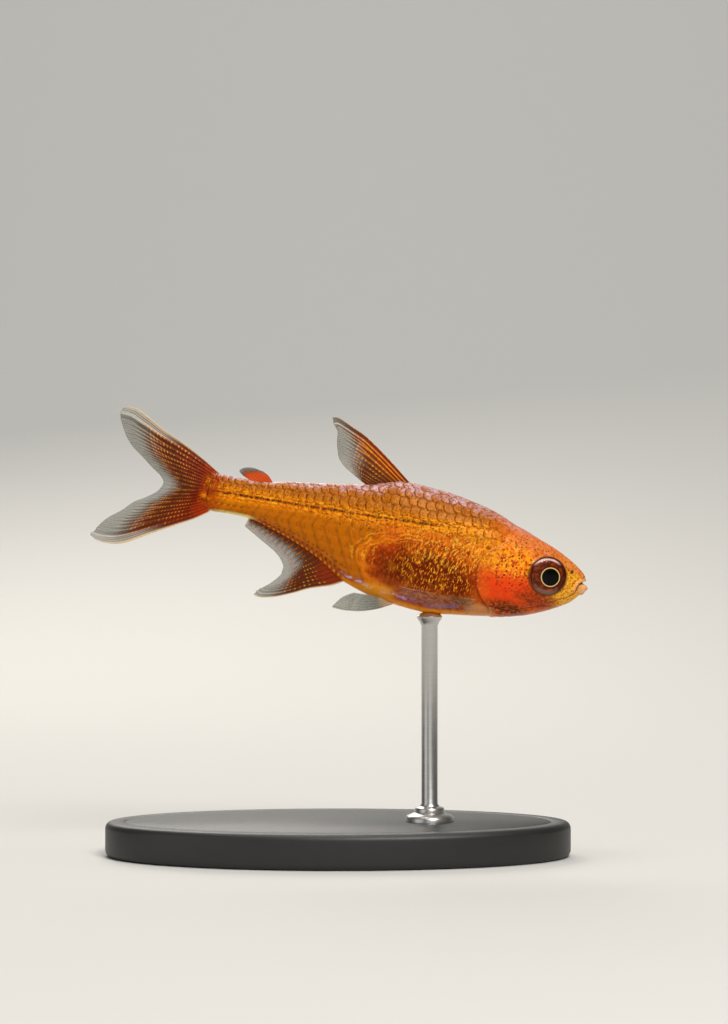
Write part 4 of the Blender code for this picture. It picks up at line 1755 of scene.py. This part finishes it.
class Outline:
    """The side view of a fin, in percent of the standard length, given in millimetres."""

    def __init__(self, root: Sequence[Point], margin: Sequence[Point], leading: Sequence[Point],
                 trailing: Sequence[Point] = (), fade: float = 1.6, finest: int = 400) -> None:
        """Spreads points along the fin's lines.

        Args:
            root: Where it grows, front to rear.
            margin: Its free edge, front to rear.
            leading: Points on its front edge.
            trailing: Points on its rear edge.
            fade: How fast the edges' bends fade inwards.
            finest: How finely the lines are cut.
        """
        self.finest, self.fade = finest, fade
        self.root = smooth_path(root, finest + 1)
        self.margin = smooth_path(margin, finest + 1)
        self.edges = []
        for edge in ((root[0], *leading, margin[0]), (root[-1], *trailing, margin[-1])):
            self.edges.append((edge, smooth_path(edge, finest + 1) if len(edge) > 2 else None))

    def at(self, line: Sequence[tuple[float, ...]], share: float) -> tuple[float, ...]:
        """A point at a share of a spread line.

        Args:
            line: The line's points.
            share: The share, 0 to 1.

        Returns:
            The point.
        """
        place = min(max(share, 0.0), 1.0) * self.finest
        i = min(int(place), self.finest - 1)
        t = place - i
        return tuple(a + (b - a) * t for a, b in zip(line[i], line[i + 1]))

    def __call__(self, out: float, across: float) -> tuple[float, float]:
        """The point at a share from root to tip and front to rear, in millimetres.

        Args:
            out: Share from root to tip.
            across: Share from front to rear.

        Returns:
            The point, (along, up).
        """
        near, far = self.at(self.root, across), self.at(self.margin, across)
        found = [a + (b - a) * out for a, b in zip(near, far)]
        whole = self.edges[1][1] is not None
        reach = 2 if whole else 1
        for (edge, line), inward in zip(self.edges, (across, 1 - across)):
            if line is None or reach * inward >= 1:
                continue
            weight = (1 - reach * inward) ** self.fade
            here = self.at(line, out)
            for k in (0, 1):
                straight = edge[0][k] + (edge[-1][k] - edge[0][k]) * out
                found[k] += (here[k] - straight) * weight
        return found[0] * PERCENT, found[1] * PERCENT


@dataclass
class Fins:
    """All the fins, placed on the body."""

    sunk: float = 0.6
    sway: float = 0.44

    def level(self, along: float, share: float) -> float:
        """Height of the back or the belly at a place, in percent."""
        return BODY.section(along * PERCENT)[0 if share > 0 else 1] / PERCENT

    def flat(self, outline: Outline, sway: float, ripple: float) -> Callable[[float, float], tuple]:
        """A fin on the middle plane.

        Args:
            outline: Its side view.
            sway: How far its tips lean to the left, in millimetres.
            ripple: How far it waves.

        Returns:
            The place of a point on it.
        """
        def place(out: float, across: float) -> tuple[float, float, float]:
            """A point's place in the fish's frame, at a share out and across."""
            wave = ripple * out * math.sin(3.4 * math.pi * across + 2.1 * out)
            return (*outline(out, across), sway * out * out + wave)
        return place

    def dorsal(self) -> Fin:
        """The fin on the back.

        Returns:
            The fin.
        """
        root = [(a, self.level(a, 1) - self.sunk) for a in (49.6, 53.5, 57.0, 60.7)]
        leading = ((56.7, 18.85), (61.5, 21.9), (64.4, 23.5), (67.75, 24.8), (70.2, 25.75),
                   (72.3, 26.35))
        margin = ((73.5, 26.0), (72.9, 24.5), (71.3, 22.5), (70.9, 20.3), (70.15, 17.8),
                  (69.3, 16.0), (67.5, 14.4), (65.5, 13.2), (63.0, 12.2))
        outline = Outline(root, margin, leading)
        return Fin("dorsal_fin_sheet", FinKind.DORSAL, ("dorsal_fin",),
                   self.flat(outline, 0.0, 0.06), 11, size=3.2)

    def adipose(self) -> Fin:
        """The small fleshy fin before the tail.

        Returns:
            The fin.
        """
        root = [(a, self.level(a, 1) - self.sunk * 0.6) for a in (84.4, 87.4, 90.2)]
        margin = ((87.6, 8.2), (90.1, 8.5), (92.4, 8.0), (93.5, 6.9), (92.3, 5.9))
        outline = Outline(root, margin, ((86.0, 7.5),))
        return Fin("adipose_fin_sheet", FinKind.FAT, ("adipose_fin",),
                   self.flat(outline, 0.0, 0.0), 9, 8, 24, 0.085, 0.012, size=0.8)

    def tail(self) -> Fin:
        """The forked tail fin.

        Returns:
            The fin.
        """
        root = ((98.6, 5.2), (100.4, 3.6), (101.2, 0.0), (100.4, -3.6), (98.6, -5.2))
        leading = ((103.3, 7.75), (109.0, 10.35), (114.8, 12.6), (119.65, 14.95), (123.3, 16.35))
        trailing = ((101.5, -7.6), (105.15, -9.95), (108.7, -12.15), (112.2, -14.35),
                    (115.4, -16.5), (117.9, -18.0), (120.55, -18.95), (123.5, -19.25))
        margin = ((125.7, 16.4), (127.1, 15.2), (127.1, 14.1), (125.9, 11.4), (124.4, 9.1),
                  (122.2, 6.8), (118.5, 4.4), (115.7, 2.5), (113.0, 0.8), (112.0, -0.7),
                  (112.7, -2.7), (115.3, -5.2), (118.1, -7.1), (121.0, -10.2),
                  (123.9, -12.75), (125.7, -15.1), (126.7, -17.0), (127.5, -18.0), (125.8, -18.9))
        outline = Outline(root, margin, leading, trailing)
        return Fin("tail_fin_sheet", FinKind.TAIL, ("caudal_fin_upper", "caudal_fin_lower"),
                   self.flat(outline, self.sway, 0.07), 20, 18, 72, size=5.6, plain_rays=2)

    def anal(self) -> Fin:
        """The long fin under the tail stalk.

        Returns:
            The fin.
        """
        root = [(a, self.level(a, -1) + self.sunk) for a in (60.3, 65.0, 70.0, 76.0, 82.0, 88.2)]
        leading = ((63.2, -16.2), (68.95, -18.5), (72.5, -20.5), (78.0, -22.95), (81.2, -23.65))
        margin = ((82.7, -23.3), (81.75, -21.75), (80.05, -20.35), (77.65, -17.75),
                  (76.8, -16.15), (76.75, -14.7), (77.5, -13.25), (79.4, -11.5), (82.6, -9.8),
                  (86.2, -8.0), (88.9, -6.6))
        outline = Outline(root, margin, leading)
        return Fin("anal_fin_sheet", FinKind.ANAL, ("anal_fin",),
                   self.flat(outline, 0.0, 0.05), 21, 14, 56, size=3.4, plain_rays=3)

    def pelvic(self, name: str, hand: int) -> Fin:
        """One of the pair under the belly.

        Args:
            name: Its side.
            hand: -1 for the right, 1 for the left.

        Returns:
            The fin.
        """
        root = ((46.9, -17.2), (48.6, -16.9), (50.4, -16.3))
        leading = ((50.5, -19.3), (53.65, -20.6), (56.8, -21.4), (59.4, -21.75), (61.3, -21.75))
        margin = ((62.2, -21.6), (61.4, -20.4), (60.4, -19.0), (59.0, -17.8), (57.4, -16.9))
        outline = Outline(root, margin, leading)

        def place(out: float, across: float) -> tuple[float, float, float]:
            """A point's place in the fish's frame, at a share out and across."""
            along, up = outline(out, across)
            return along, up, hand * (0.36 + 0.08 * across + 0.34 * out)

        return Fin(f"pelvic_fin_{name}_sheet", FinKind.PELVIC, (f"pelvic_fin_{name}",), place,
                   8, 16, 40, 0.04, 0.05, size=3.0, plain_rays=1)

    def pectoral(self, name: str, hand: int) -> Fin:
        """One of the pair behind the gill covers, folded back on the flank.

        Args:
            name: Its side.
            hand: -1 for the right, 1 for the left.

        Returns:
            The fin.
        """
        root = ((26.4, -11.1), (26.9, -11.9), (27.6, -12.6))
        margin = ((46.4, -11.6), (44.6, -13.0), (40.4, -14.1), (35.4, -14.3))
        outline = Outline(root, margin, ())

        def place(out: float, across: float) -> tuple[float, float, float]:
            """A point's place in the fish's frame.

            Args:
                out: Share from root to tip.
                across: Share from front to rear.

            Returns:
                The place.
            """
            along, up = outline(out, across)
            clear = -0.05 + 0.5 * step_up(out, 0.0, 0.6)
            step = 0.04
            here = Vector((along, up, BODY.side_at(along, up)))
            back = Vector((along + step, up, BODY.side_at(along + step, up))) - here
            rise = Vector((along, up + step, BODY.side_at(along, up + step))) - here
            out_way = back.cross(rise).normalized()
            if out_way.z < 0:
                out_way.negate()
            spot = here + out_way * clear
            return spot.x, spot.y, hand * spot.z

        return Fin(f"pectoral_fin_{name}_sheet", FinKind.PECTORAL, (f"pectoral_fin_{name}",), place,
                   10, 14, 44, 0.035, 0.045, size=3.6, plain_rays=1)

    def build(self) -> list[bpy.types.Object]:
        """Makes every fin.

        Returns:
            The pieces.
        """
        finishes = {kind: FinFinish(kind).material() for kind in FinKind}
        fins = [self.dorsal(), self.adipose(), self.tail(), self.anal()]
        fins += [maker(*side) for maker in (self.pelvic, self.pectoral) for side in SIDES.items()]
        return [fin.build(finishes[fin.kind]) for fin in fins]


# Eyes


@dataclass(frozen=True)
class EyeFinish:
    """Iris, gold ring and pupil, with painted highlights on the iris, read from the place on the
    fish.
    """

    pupil: float = 0.45
    ring: float = 0.495
    iris: Colour = srgb(88, 28, 8)
    iris_light: Colour = srgb(136, 56, 20)
    iris_rim: Colour = srgb(40, 12, 5)
    crescent_highlight: Colour = srgb(240, 200, 190)
    lower_glint: Colour = srgb(168, 132, 108)
    shade: Colour = srgb(30, 10, 4)
    gold: Colour = srgb(250, 208, 130)
    black: Colour = (0.001, 0.001, 0.001)

    def material(self) -> bpy.types.Material:
        """Builds the material.

        Returns:
            The material.
        """
        graph = Graph("eye")
        inner, outer = graph.ring(PUPIL_OVAL), graph.ring(EYE_OVAL)
        back, above = graph.along - EYE_OVAL.along, graph.up - EYE_OVAL.up
        cloud = graph.noise(5.0, 4.0)
        graph.colour = self.iris
        graph.lay(cloud.over(0.42, 0.64), self.iris_light)
        graph.lay(outer.over(0.74, 0.90) * 0.8, self.iris_rim)
        # Painted highlight along the top of the iris.
        crescent_highlight = outer.within(0.82, 0.92, 0.03) * (above + back * 0.25).over(0.50, 0.85)
        graph.lay(crescent_highlight * (0.6 + cloud * 0.5).least(1.0), self.crescent_highlight)
        low = above.over(-0.4, -0.85) * outer.within(0.7, 0.95, 0.06)
        graph.lay(low * 0.45, self.lower_glint)
        graph.lay(inner.within(0.47, 0.58, 0.04) * 0.6, self.shade)
        graph.lay(inner.within(self.pupil, self.ring, 0.018), self.gold)
        graph.lay(inner.over(self.pupil + 0.015, self.pupil - 0.015), self.black)
        graph.set(Base_Color=graph.colour, Roughness=0.3, Coat_Roughness=0.02,
                  Coat_Weight=0.08, Specular_IOR_Level=0.05)
        graph.bump(graph.noise(14.0, 3.0) * inner.over(0.5, 0.6), 0.2, 0.01)
        return graph.material


@dataclass(frozen=True)
class CorneaFinish:
    """The clear wet dome over the eye."""

    clear: float = 0.05

    def material(self) -> bpy.types.Material:
        """Builds the material.

        Returns:
            The material.
        """
        graph = Graph("cornea")
        graph.set(Base_Color=(0.0, 0.0, 0.0), Roughness=0.03, Alpha=self.clear,
                  Specular_IOR_Level=0.8)
        return graph.material


@dataclass
class Eyes:
    """Two eyeballs sunk in the head, each under a clear dome."""

    radius: float = 1.01
    depth: float = 0.42
    side: float = 0.90
    lean: float = 0.20
    flatness: float = 0.6
    dome: float = 0.04

    def ball(self, hand: int, grow: float, bulge: float) -> bmesh.types.BMesh:
        """A squashed ball for one eye.

        Args:
            hand: -1 for the right, 1 for the left.
            grow: How much larger than the eyeball it is.
            bulge: How far its middle stands further out.

        Returns:
            The mesh.
        """
        bm = bmesh.new()
        bmesh.ops.create_uvsphere(bm, u_segments=96, v_segments=64, radius=1.0)
        for vert in bm.verts:
            x, y, z = vert.co
            reach = self.radius + grow
            swell = z**self.flatness if z > 0 else z
            out = self.side + swell * (self.depth + grow) - self.lean * x * reach
            out += bulge * hump(math.hypot(x, y), 0.55) * (z > 0)
            vert.co = POSE.place(EYE_CENTRE[0] - x * reach, EYE_CENTRE[1] + y * reach, hand * out)
        face_outwards(bm)
        return bm

    def build(self) -> list[bpy.types.Object]:
        """Makes both eyes.

        Returns:
            The pieces.
        """
        eye, cornea = EyeFinish().material(), CorneaFinish().material()
        pieces = []
        for name, hand in SIDES.items():
            ball = self.ball(hand, 0.0, 0.03)
            pieces.append(finished(f"eyeball_{name}", ball, eye, (f"eye_{name}",)))
            dome = self.ball(hand, 0.015, 0.03 + self.dome)
            cut = POSE.place(0.0, 0.0, hand * (self.side + 0.25))
            every = dome.verts[:] + dome.edges[:] + dome.faces[:]
            bmesh.ops.bisect_plane(dome, geom=every, dist=0.000001, plane_co=cut,
                                   plane_no=(0.0, hand, 0.0), clear_inner=True)
            rim = [edge for edge in dome.edges if edge.is_boundary]
            bmesh.ops.holes_fill(dome, edges=rim, sides=0)
            face_outwards(dome)
            pieces.append(finished(f"cornea_{name}", dome, cornea))
        return pieces


# Stand


@dataclass(frozen=True)
class StandFinish:
    """Satin black base and brushed steel rod."""

    black: Colour = srgb(26, 25, 24)
    black_light: Colour = srgb(34, 33, 32)
    steel: Colour = srgb(176, 174, 170)
    steel_light: Colour = srgb(206, 204, 200)

    def base(self) -> bpy.types.Material:
        """The base's material.

        Returns:
            The material.
        """
        graph = Graph("satin_black")
        cloud = graph.noise(0.8, 4.0)
        graph.set(Base_Color=graph.mix(cloud, self.black, self.black_light),
                  Roughness=0.38 + graph.noise(6.0, 4.0) * 0.12, Specular_IOR_Level=0.5)
        graph.bump(graph.noise(12.0, 4.0), 0.12, 0.02)
        return graph.material

    def rod(self) -> bpy.types.Material:
        """The rod's material.

        Returns:
            The material.
        """
        graph = Graph("brushed_steel")
        brushed = graph.noise(2.0, 3.0, (0.6, 0.6, 22.0))
        graph.set(Base_Color=graph.mix(brushed, self.steel, self.steel_light),
                  Roughness=0.22 + brushed * 0.2, Metallic=1.0)
        graph.bump(brushed, 0.2, 0.01)
        return graph.material


@dataclass
class Stand:
    """A flat oval base and one short rod."""

    length: float = 24.0
    width: float = 13.0
    height: float = 1.8
    edge: float = 0.35
    rod_along: float = 7.46
    rod_radius: float = 0.42

    def base(self, material: bpy.types.Material) -> bpy.types.Object:
        """The oval base with its rounded edges and a fine groove round it.

        Args:
            material: Its finish.

        Returns:
            The piece.
        """
        bm = bmesh.new()
        bmesh.ops.create_cone(bm, cap_ends=True, segments=160, radius1=0.5, radius2=0.5, depth=1.0)
        bmesh.ops.scale(bm, vec=(self.length, self.width, self.height), verts=bm.verts)
        bmesh.ops.translate(bm, vec=(0, 0, self.height / 2), verts=bm.verts)
        rims = [e for e in bm.edges if abs(e.verts[0].co.z - e.verts[1].co.z) < 1e-6]
        bmesh.ops.bevel(bm, geom=rims, offset=self.edge, offset_type="OFFSET", affect="EDGES",
                        segments=6, profile=0.5, material=-1, clamp_overlap=True)
        top = max(bm.faces, key=lambda face: face.calc_center_median().z)
        for amount, depth in ((0.55, 0.0), (0.10, -0.05), (0.10, 0.05)):
            bmesh.ops.inset_region(bm, faces=[top], thickness=amount, depth=depth)
        bmesh.ops.scale(bm, vec=(MM, MM, MM), verts=bm.verts)
        face_outwards(bm)
        piece = finished("display_base", bm, material, ("stand_base",))
        piece.data.set_sharp_from_angle(angle=math.radians(35))
        return piece

    def rod(self, material: bpy.types.Material) -> bpy.types.Object:
        """The rod with its foot collar and the small pad under the belly.

        Args:
            material: Its finish.

        Returns:
            The piece.
        """
        belly = BODY.section(self.rod_along)[1]
        under = POSE.place(self.rod_along, belly + 0.12) / MM
        top, foot = under.z, self.height - 0.05
        profile = (
            (0.001, top), (0.34, top - 0.02), (0.56, top - 0.10), (0.66, top - 0.24),
            (0.62, top - 0.36), (0.50, top - 0.52), (self.rod_radius, top - 0.72),
            (self.rod_radius, foot + 0.95), (0.50, foot + 0.82), (0.72, foot + 0.74),
            (0.78, foot + 0.62), (0.78, foot + 0.50), (0.95, foot + 0.42), (1.18, foot + 0.34),
            (1.26, foot + 0.22), (1.26, foot), (0.001, foot),
        )
        bm = bmesh.new()
        line = [bm.verts.new((radius, 0.0, z)) for radius, z in profile]
        edges = [bm.edges.new(pair) for pair in zip(line, line[1:])]
        bmesh.ops.spin(bm, geom=line + edges, cent=(0, 0, 0), axis=(0, 0, 1), dvec=(0, 0, 0),
                       angle=math.tau, steps=64, use_merge=True, use_duplicate=False)
        bmesh.ops.remove_doubles(bm, verts=bm.verts, dist=0.002)
        bmesh.ops.translate(bm, vec=(under.x, 0.0, 0.0), verts=bm.verts)
        bmesh.ops.scale(bm, vec=(MM, MM, MM), verts=bm.verts)
        face_outwards(bm)
        piece = finished("display_rod", bm, material, ("stand_rod",))
        piece.data.set_sharp_from_angle(angle=math.radians(38))
        return piece

    def build(self) -> list[bpy.types.Object]:
        """Makes the stand."""
        finish = StandFinish()
        return [self.base(finish.base()), self.rod(finish.rod())]


# Studio


@dataclass
class Studio:
    """Pale floor and backdrop, soft lights and the camera."""

    lens: float = 100.0
    frame_height: float = 52.82
    centre: Point = (1.34, 17.73)
    floor_colour: Colour = srgb(206, 204, 199)

    def stage(self) -> None:
        """The floor that curves up into a backdrop."""
        bm = bmesh.new()
        bmesh.ops.create_grid(bm, x_segments=2, y_segments=60, size=0.5)
        for vert in bm.verts:
            t = vert.co.y + 0.5
            turn = min(max((t - 0.4) / 0.4, 0.0), 1.0) * math.pi / 2
            run = min(t / 0.4, 1.0) * 3.1 - 3.0 + 0.3 * math.sin(turn)
            rise = 0.3 * (1 - math.cos(turn)) + max((t - 0.8) / 0.2, 0.0) * 0.7
            vert.co = (vert.co.x * 5.0, run, rise)
        bmesh.ops.recalc_face_normals(bm, faces=bm.faces)
        mesh = bpy.data.meshes.new("pale_floor")
        bm.to_mesh(mesh)
        bm.free()
        mesh.shade_smooth()
        graph = Graph("pale_paper")
        graph.set(Base_Color=self.floor_colour, Roughness=0.9, Specular_IOR_Level=0.15)
        mesh.materials.append(graph.material)
        floor = bpy.data.objects.new("pale_floor", mesh)
        bpy.context.scene.collection.objects.link(floor)

    def light(self, name: str, place: Sequence[float], size: float, power: float,
              colour: Colour = (1.0, 1.0, 1.0), aim: Sequence[float] = (2.0, 0.0, 15.0)) -> None:
        """A soft square light.

        Args:
            name: Its name.
            place: Where it is, in millimetres.
            size: Its side, in millimetres.
            power: Its power in watts.
            colour: Its colour.
            aim: What it faces, in millimetres.
        """
        lamp = bpy.data.lights.new(name, "AREA")
        lamp.shape, lamp.size, lamp.energy, lamp.color = "SQUARE", size * MM, power, colour
        holder = bpy.data.objects.new(name, lamp)
        holder.location = Vector(place) * MM
        towards = Vector(aim) * MM - holder.location
        holder.rotation_euler = towards.to_track_quat("-Z", "Y").to_euler()
        bpy.context.scene.collection.objects.link(holder)

    def lights(self) -> None:
        """Key from above, fills at the front and soft rims behind."""
        self.light("key", (60, -150, 170), 90, 0.39, (1.0, 0.98, 0.95))
        self.light("fill_left", (-170, -120, 70), 150, 0.06, (0.95, 0.97, 1.0))
        self.light("fill_front", (30, -260, 20), 180, 0.07)
        self.light("rim", (-40, 150, 130), 110, 0.17, (1.0, 0.96, 0.9))
        self.light("backdrop", (0, 30, 420), 260, 1.00, aim=(0, 420, 90))
        world = bpy.data.worlds.new("studio_air")
        world.use_nodes = True
        back = world.node_tree.nodes["Background"]
        back.inputs["Color"].default_value = (*srgb(232, 232, 230), 1.0)
        back.inputs["Strength"].default_value = 0.17
        bpy.context.scene.world = world

    def camera(self) -> None:
        """The photograph's view: level, square to the fish's right side."""
        data = bpy.data.cameras.new("camera")
        data.lens, data.sensor_width = self.lens, 36.0
        away = self.frame_height * self.lens / 36.0
        data.clip_start, data.clip_end = 0.005, 20.0
        holder = bpy.data.objects.new("camera", data)
        holder.location = Vector((self.centre[0], -away, self.centre[1])) * MM
        holder.rotation_euler = (math.pi / 2, 0.0, 0.0)
        bpy.context.scene.collection.objects.link(holder)
        bpy.context.scene.camera = holder
        view = bpy.context.scene.view_settings
        view.view_transform, view.look = "Standard", "None"
        view.exposure, view.gamma = 0.0, 1.0

    def build(self) -> None:
        """Sets up the studio."""
        self.stage()
        self.lights()
        self.camera()


def main() -> None:
    """Builds the piece's classes in order."""
    logging.basicConfig(level=logging.INFO, format="%(name)s %(message)s")
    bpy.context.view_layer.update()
    skin = Skin()
    pieces = [skin.build(SkinFinish().material())]
    pieces += Scales().build(skin, ScaleFinish().material())
    pieces += Fins().build()
    pieces += Eyes().build()
    pieces += Stand().build()
    for piece in pieces:
        LOG.info("%s: %d faces", piece.name, len(piece.data.polygons))
    Studio().build()


if __name__ == "__main__":
    main()
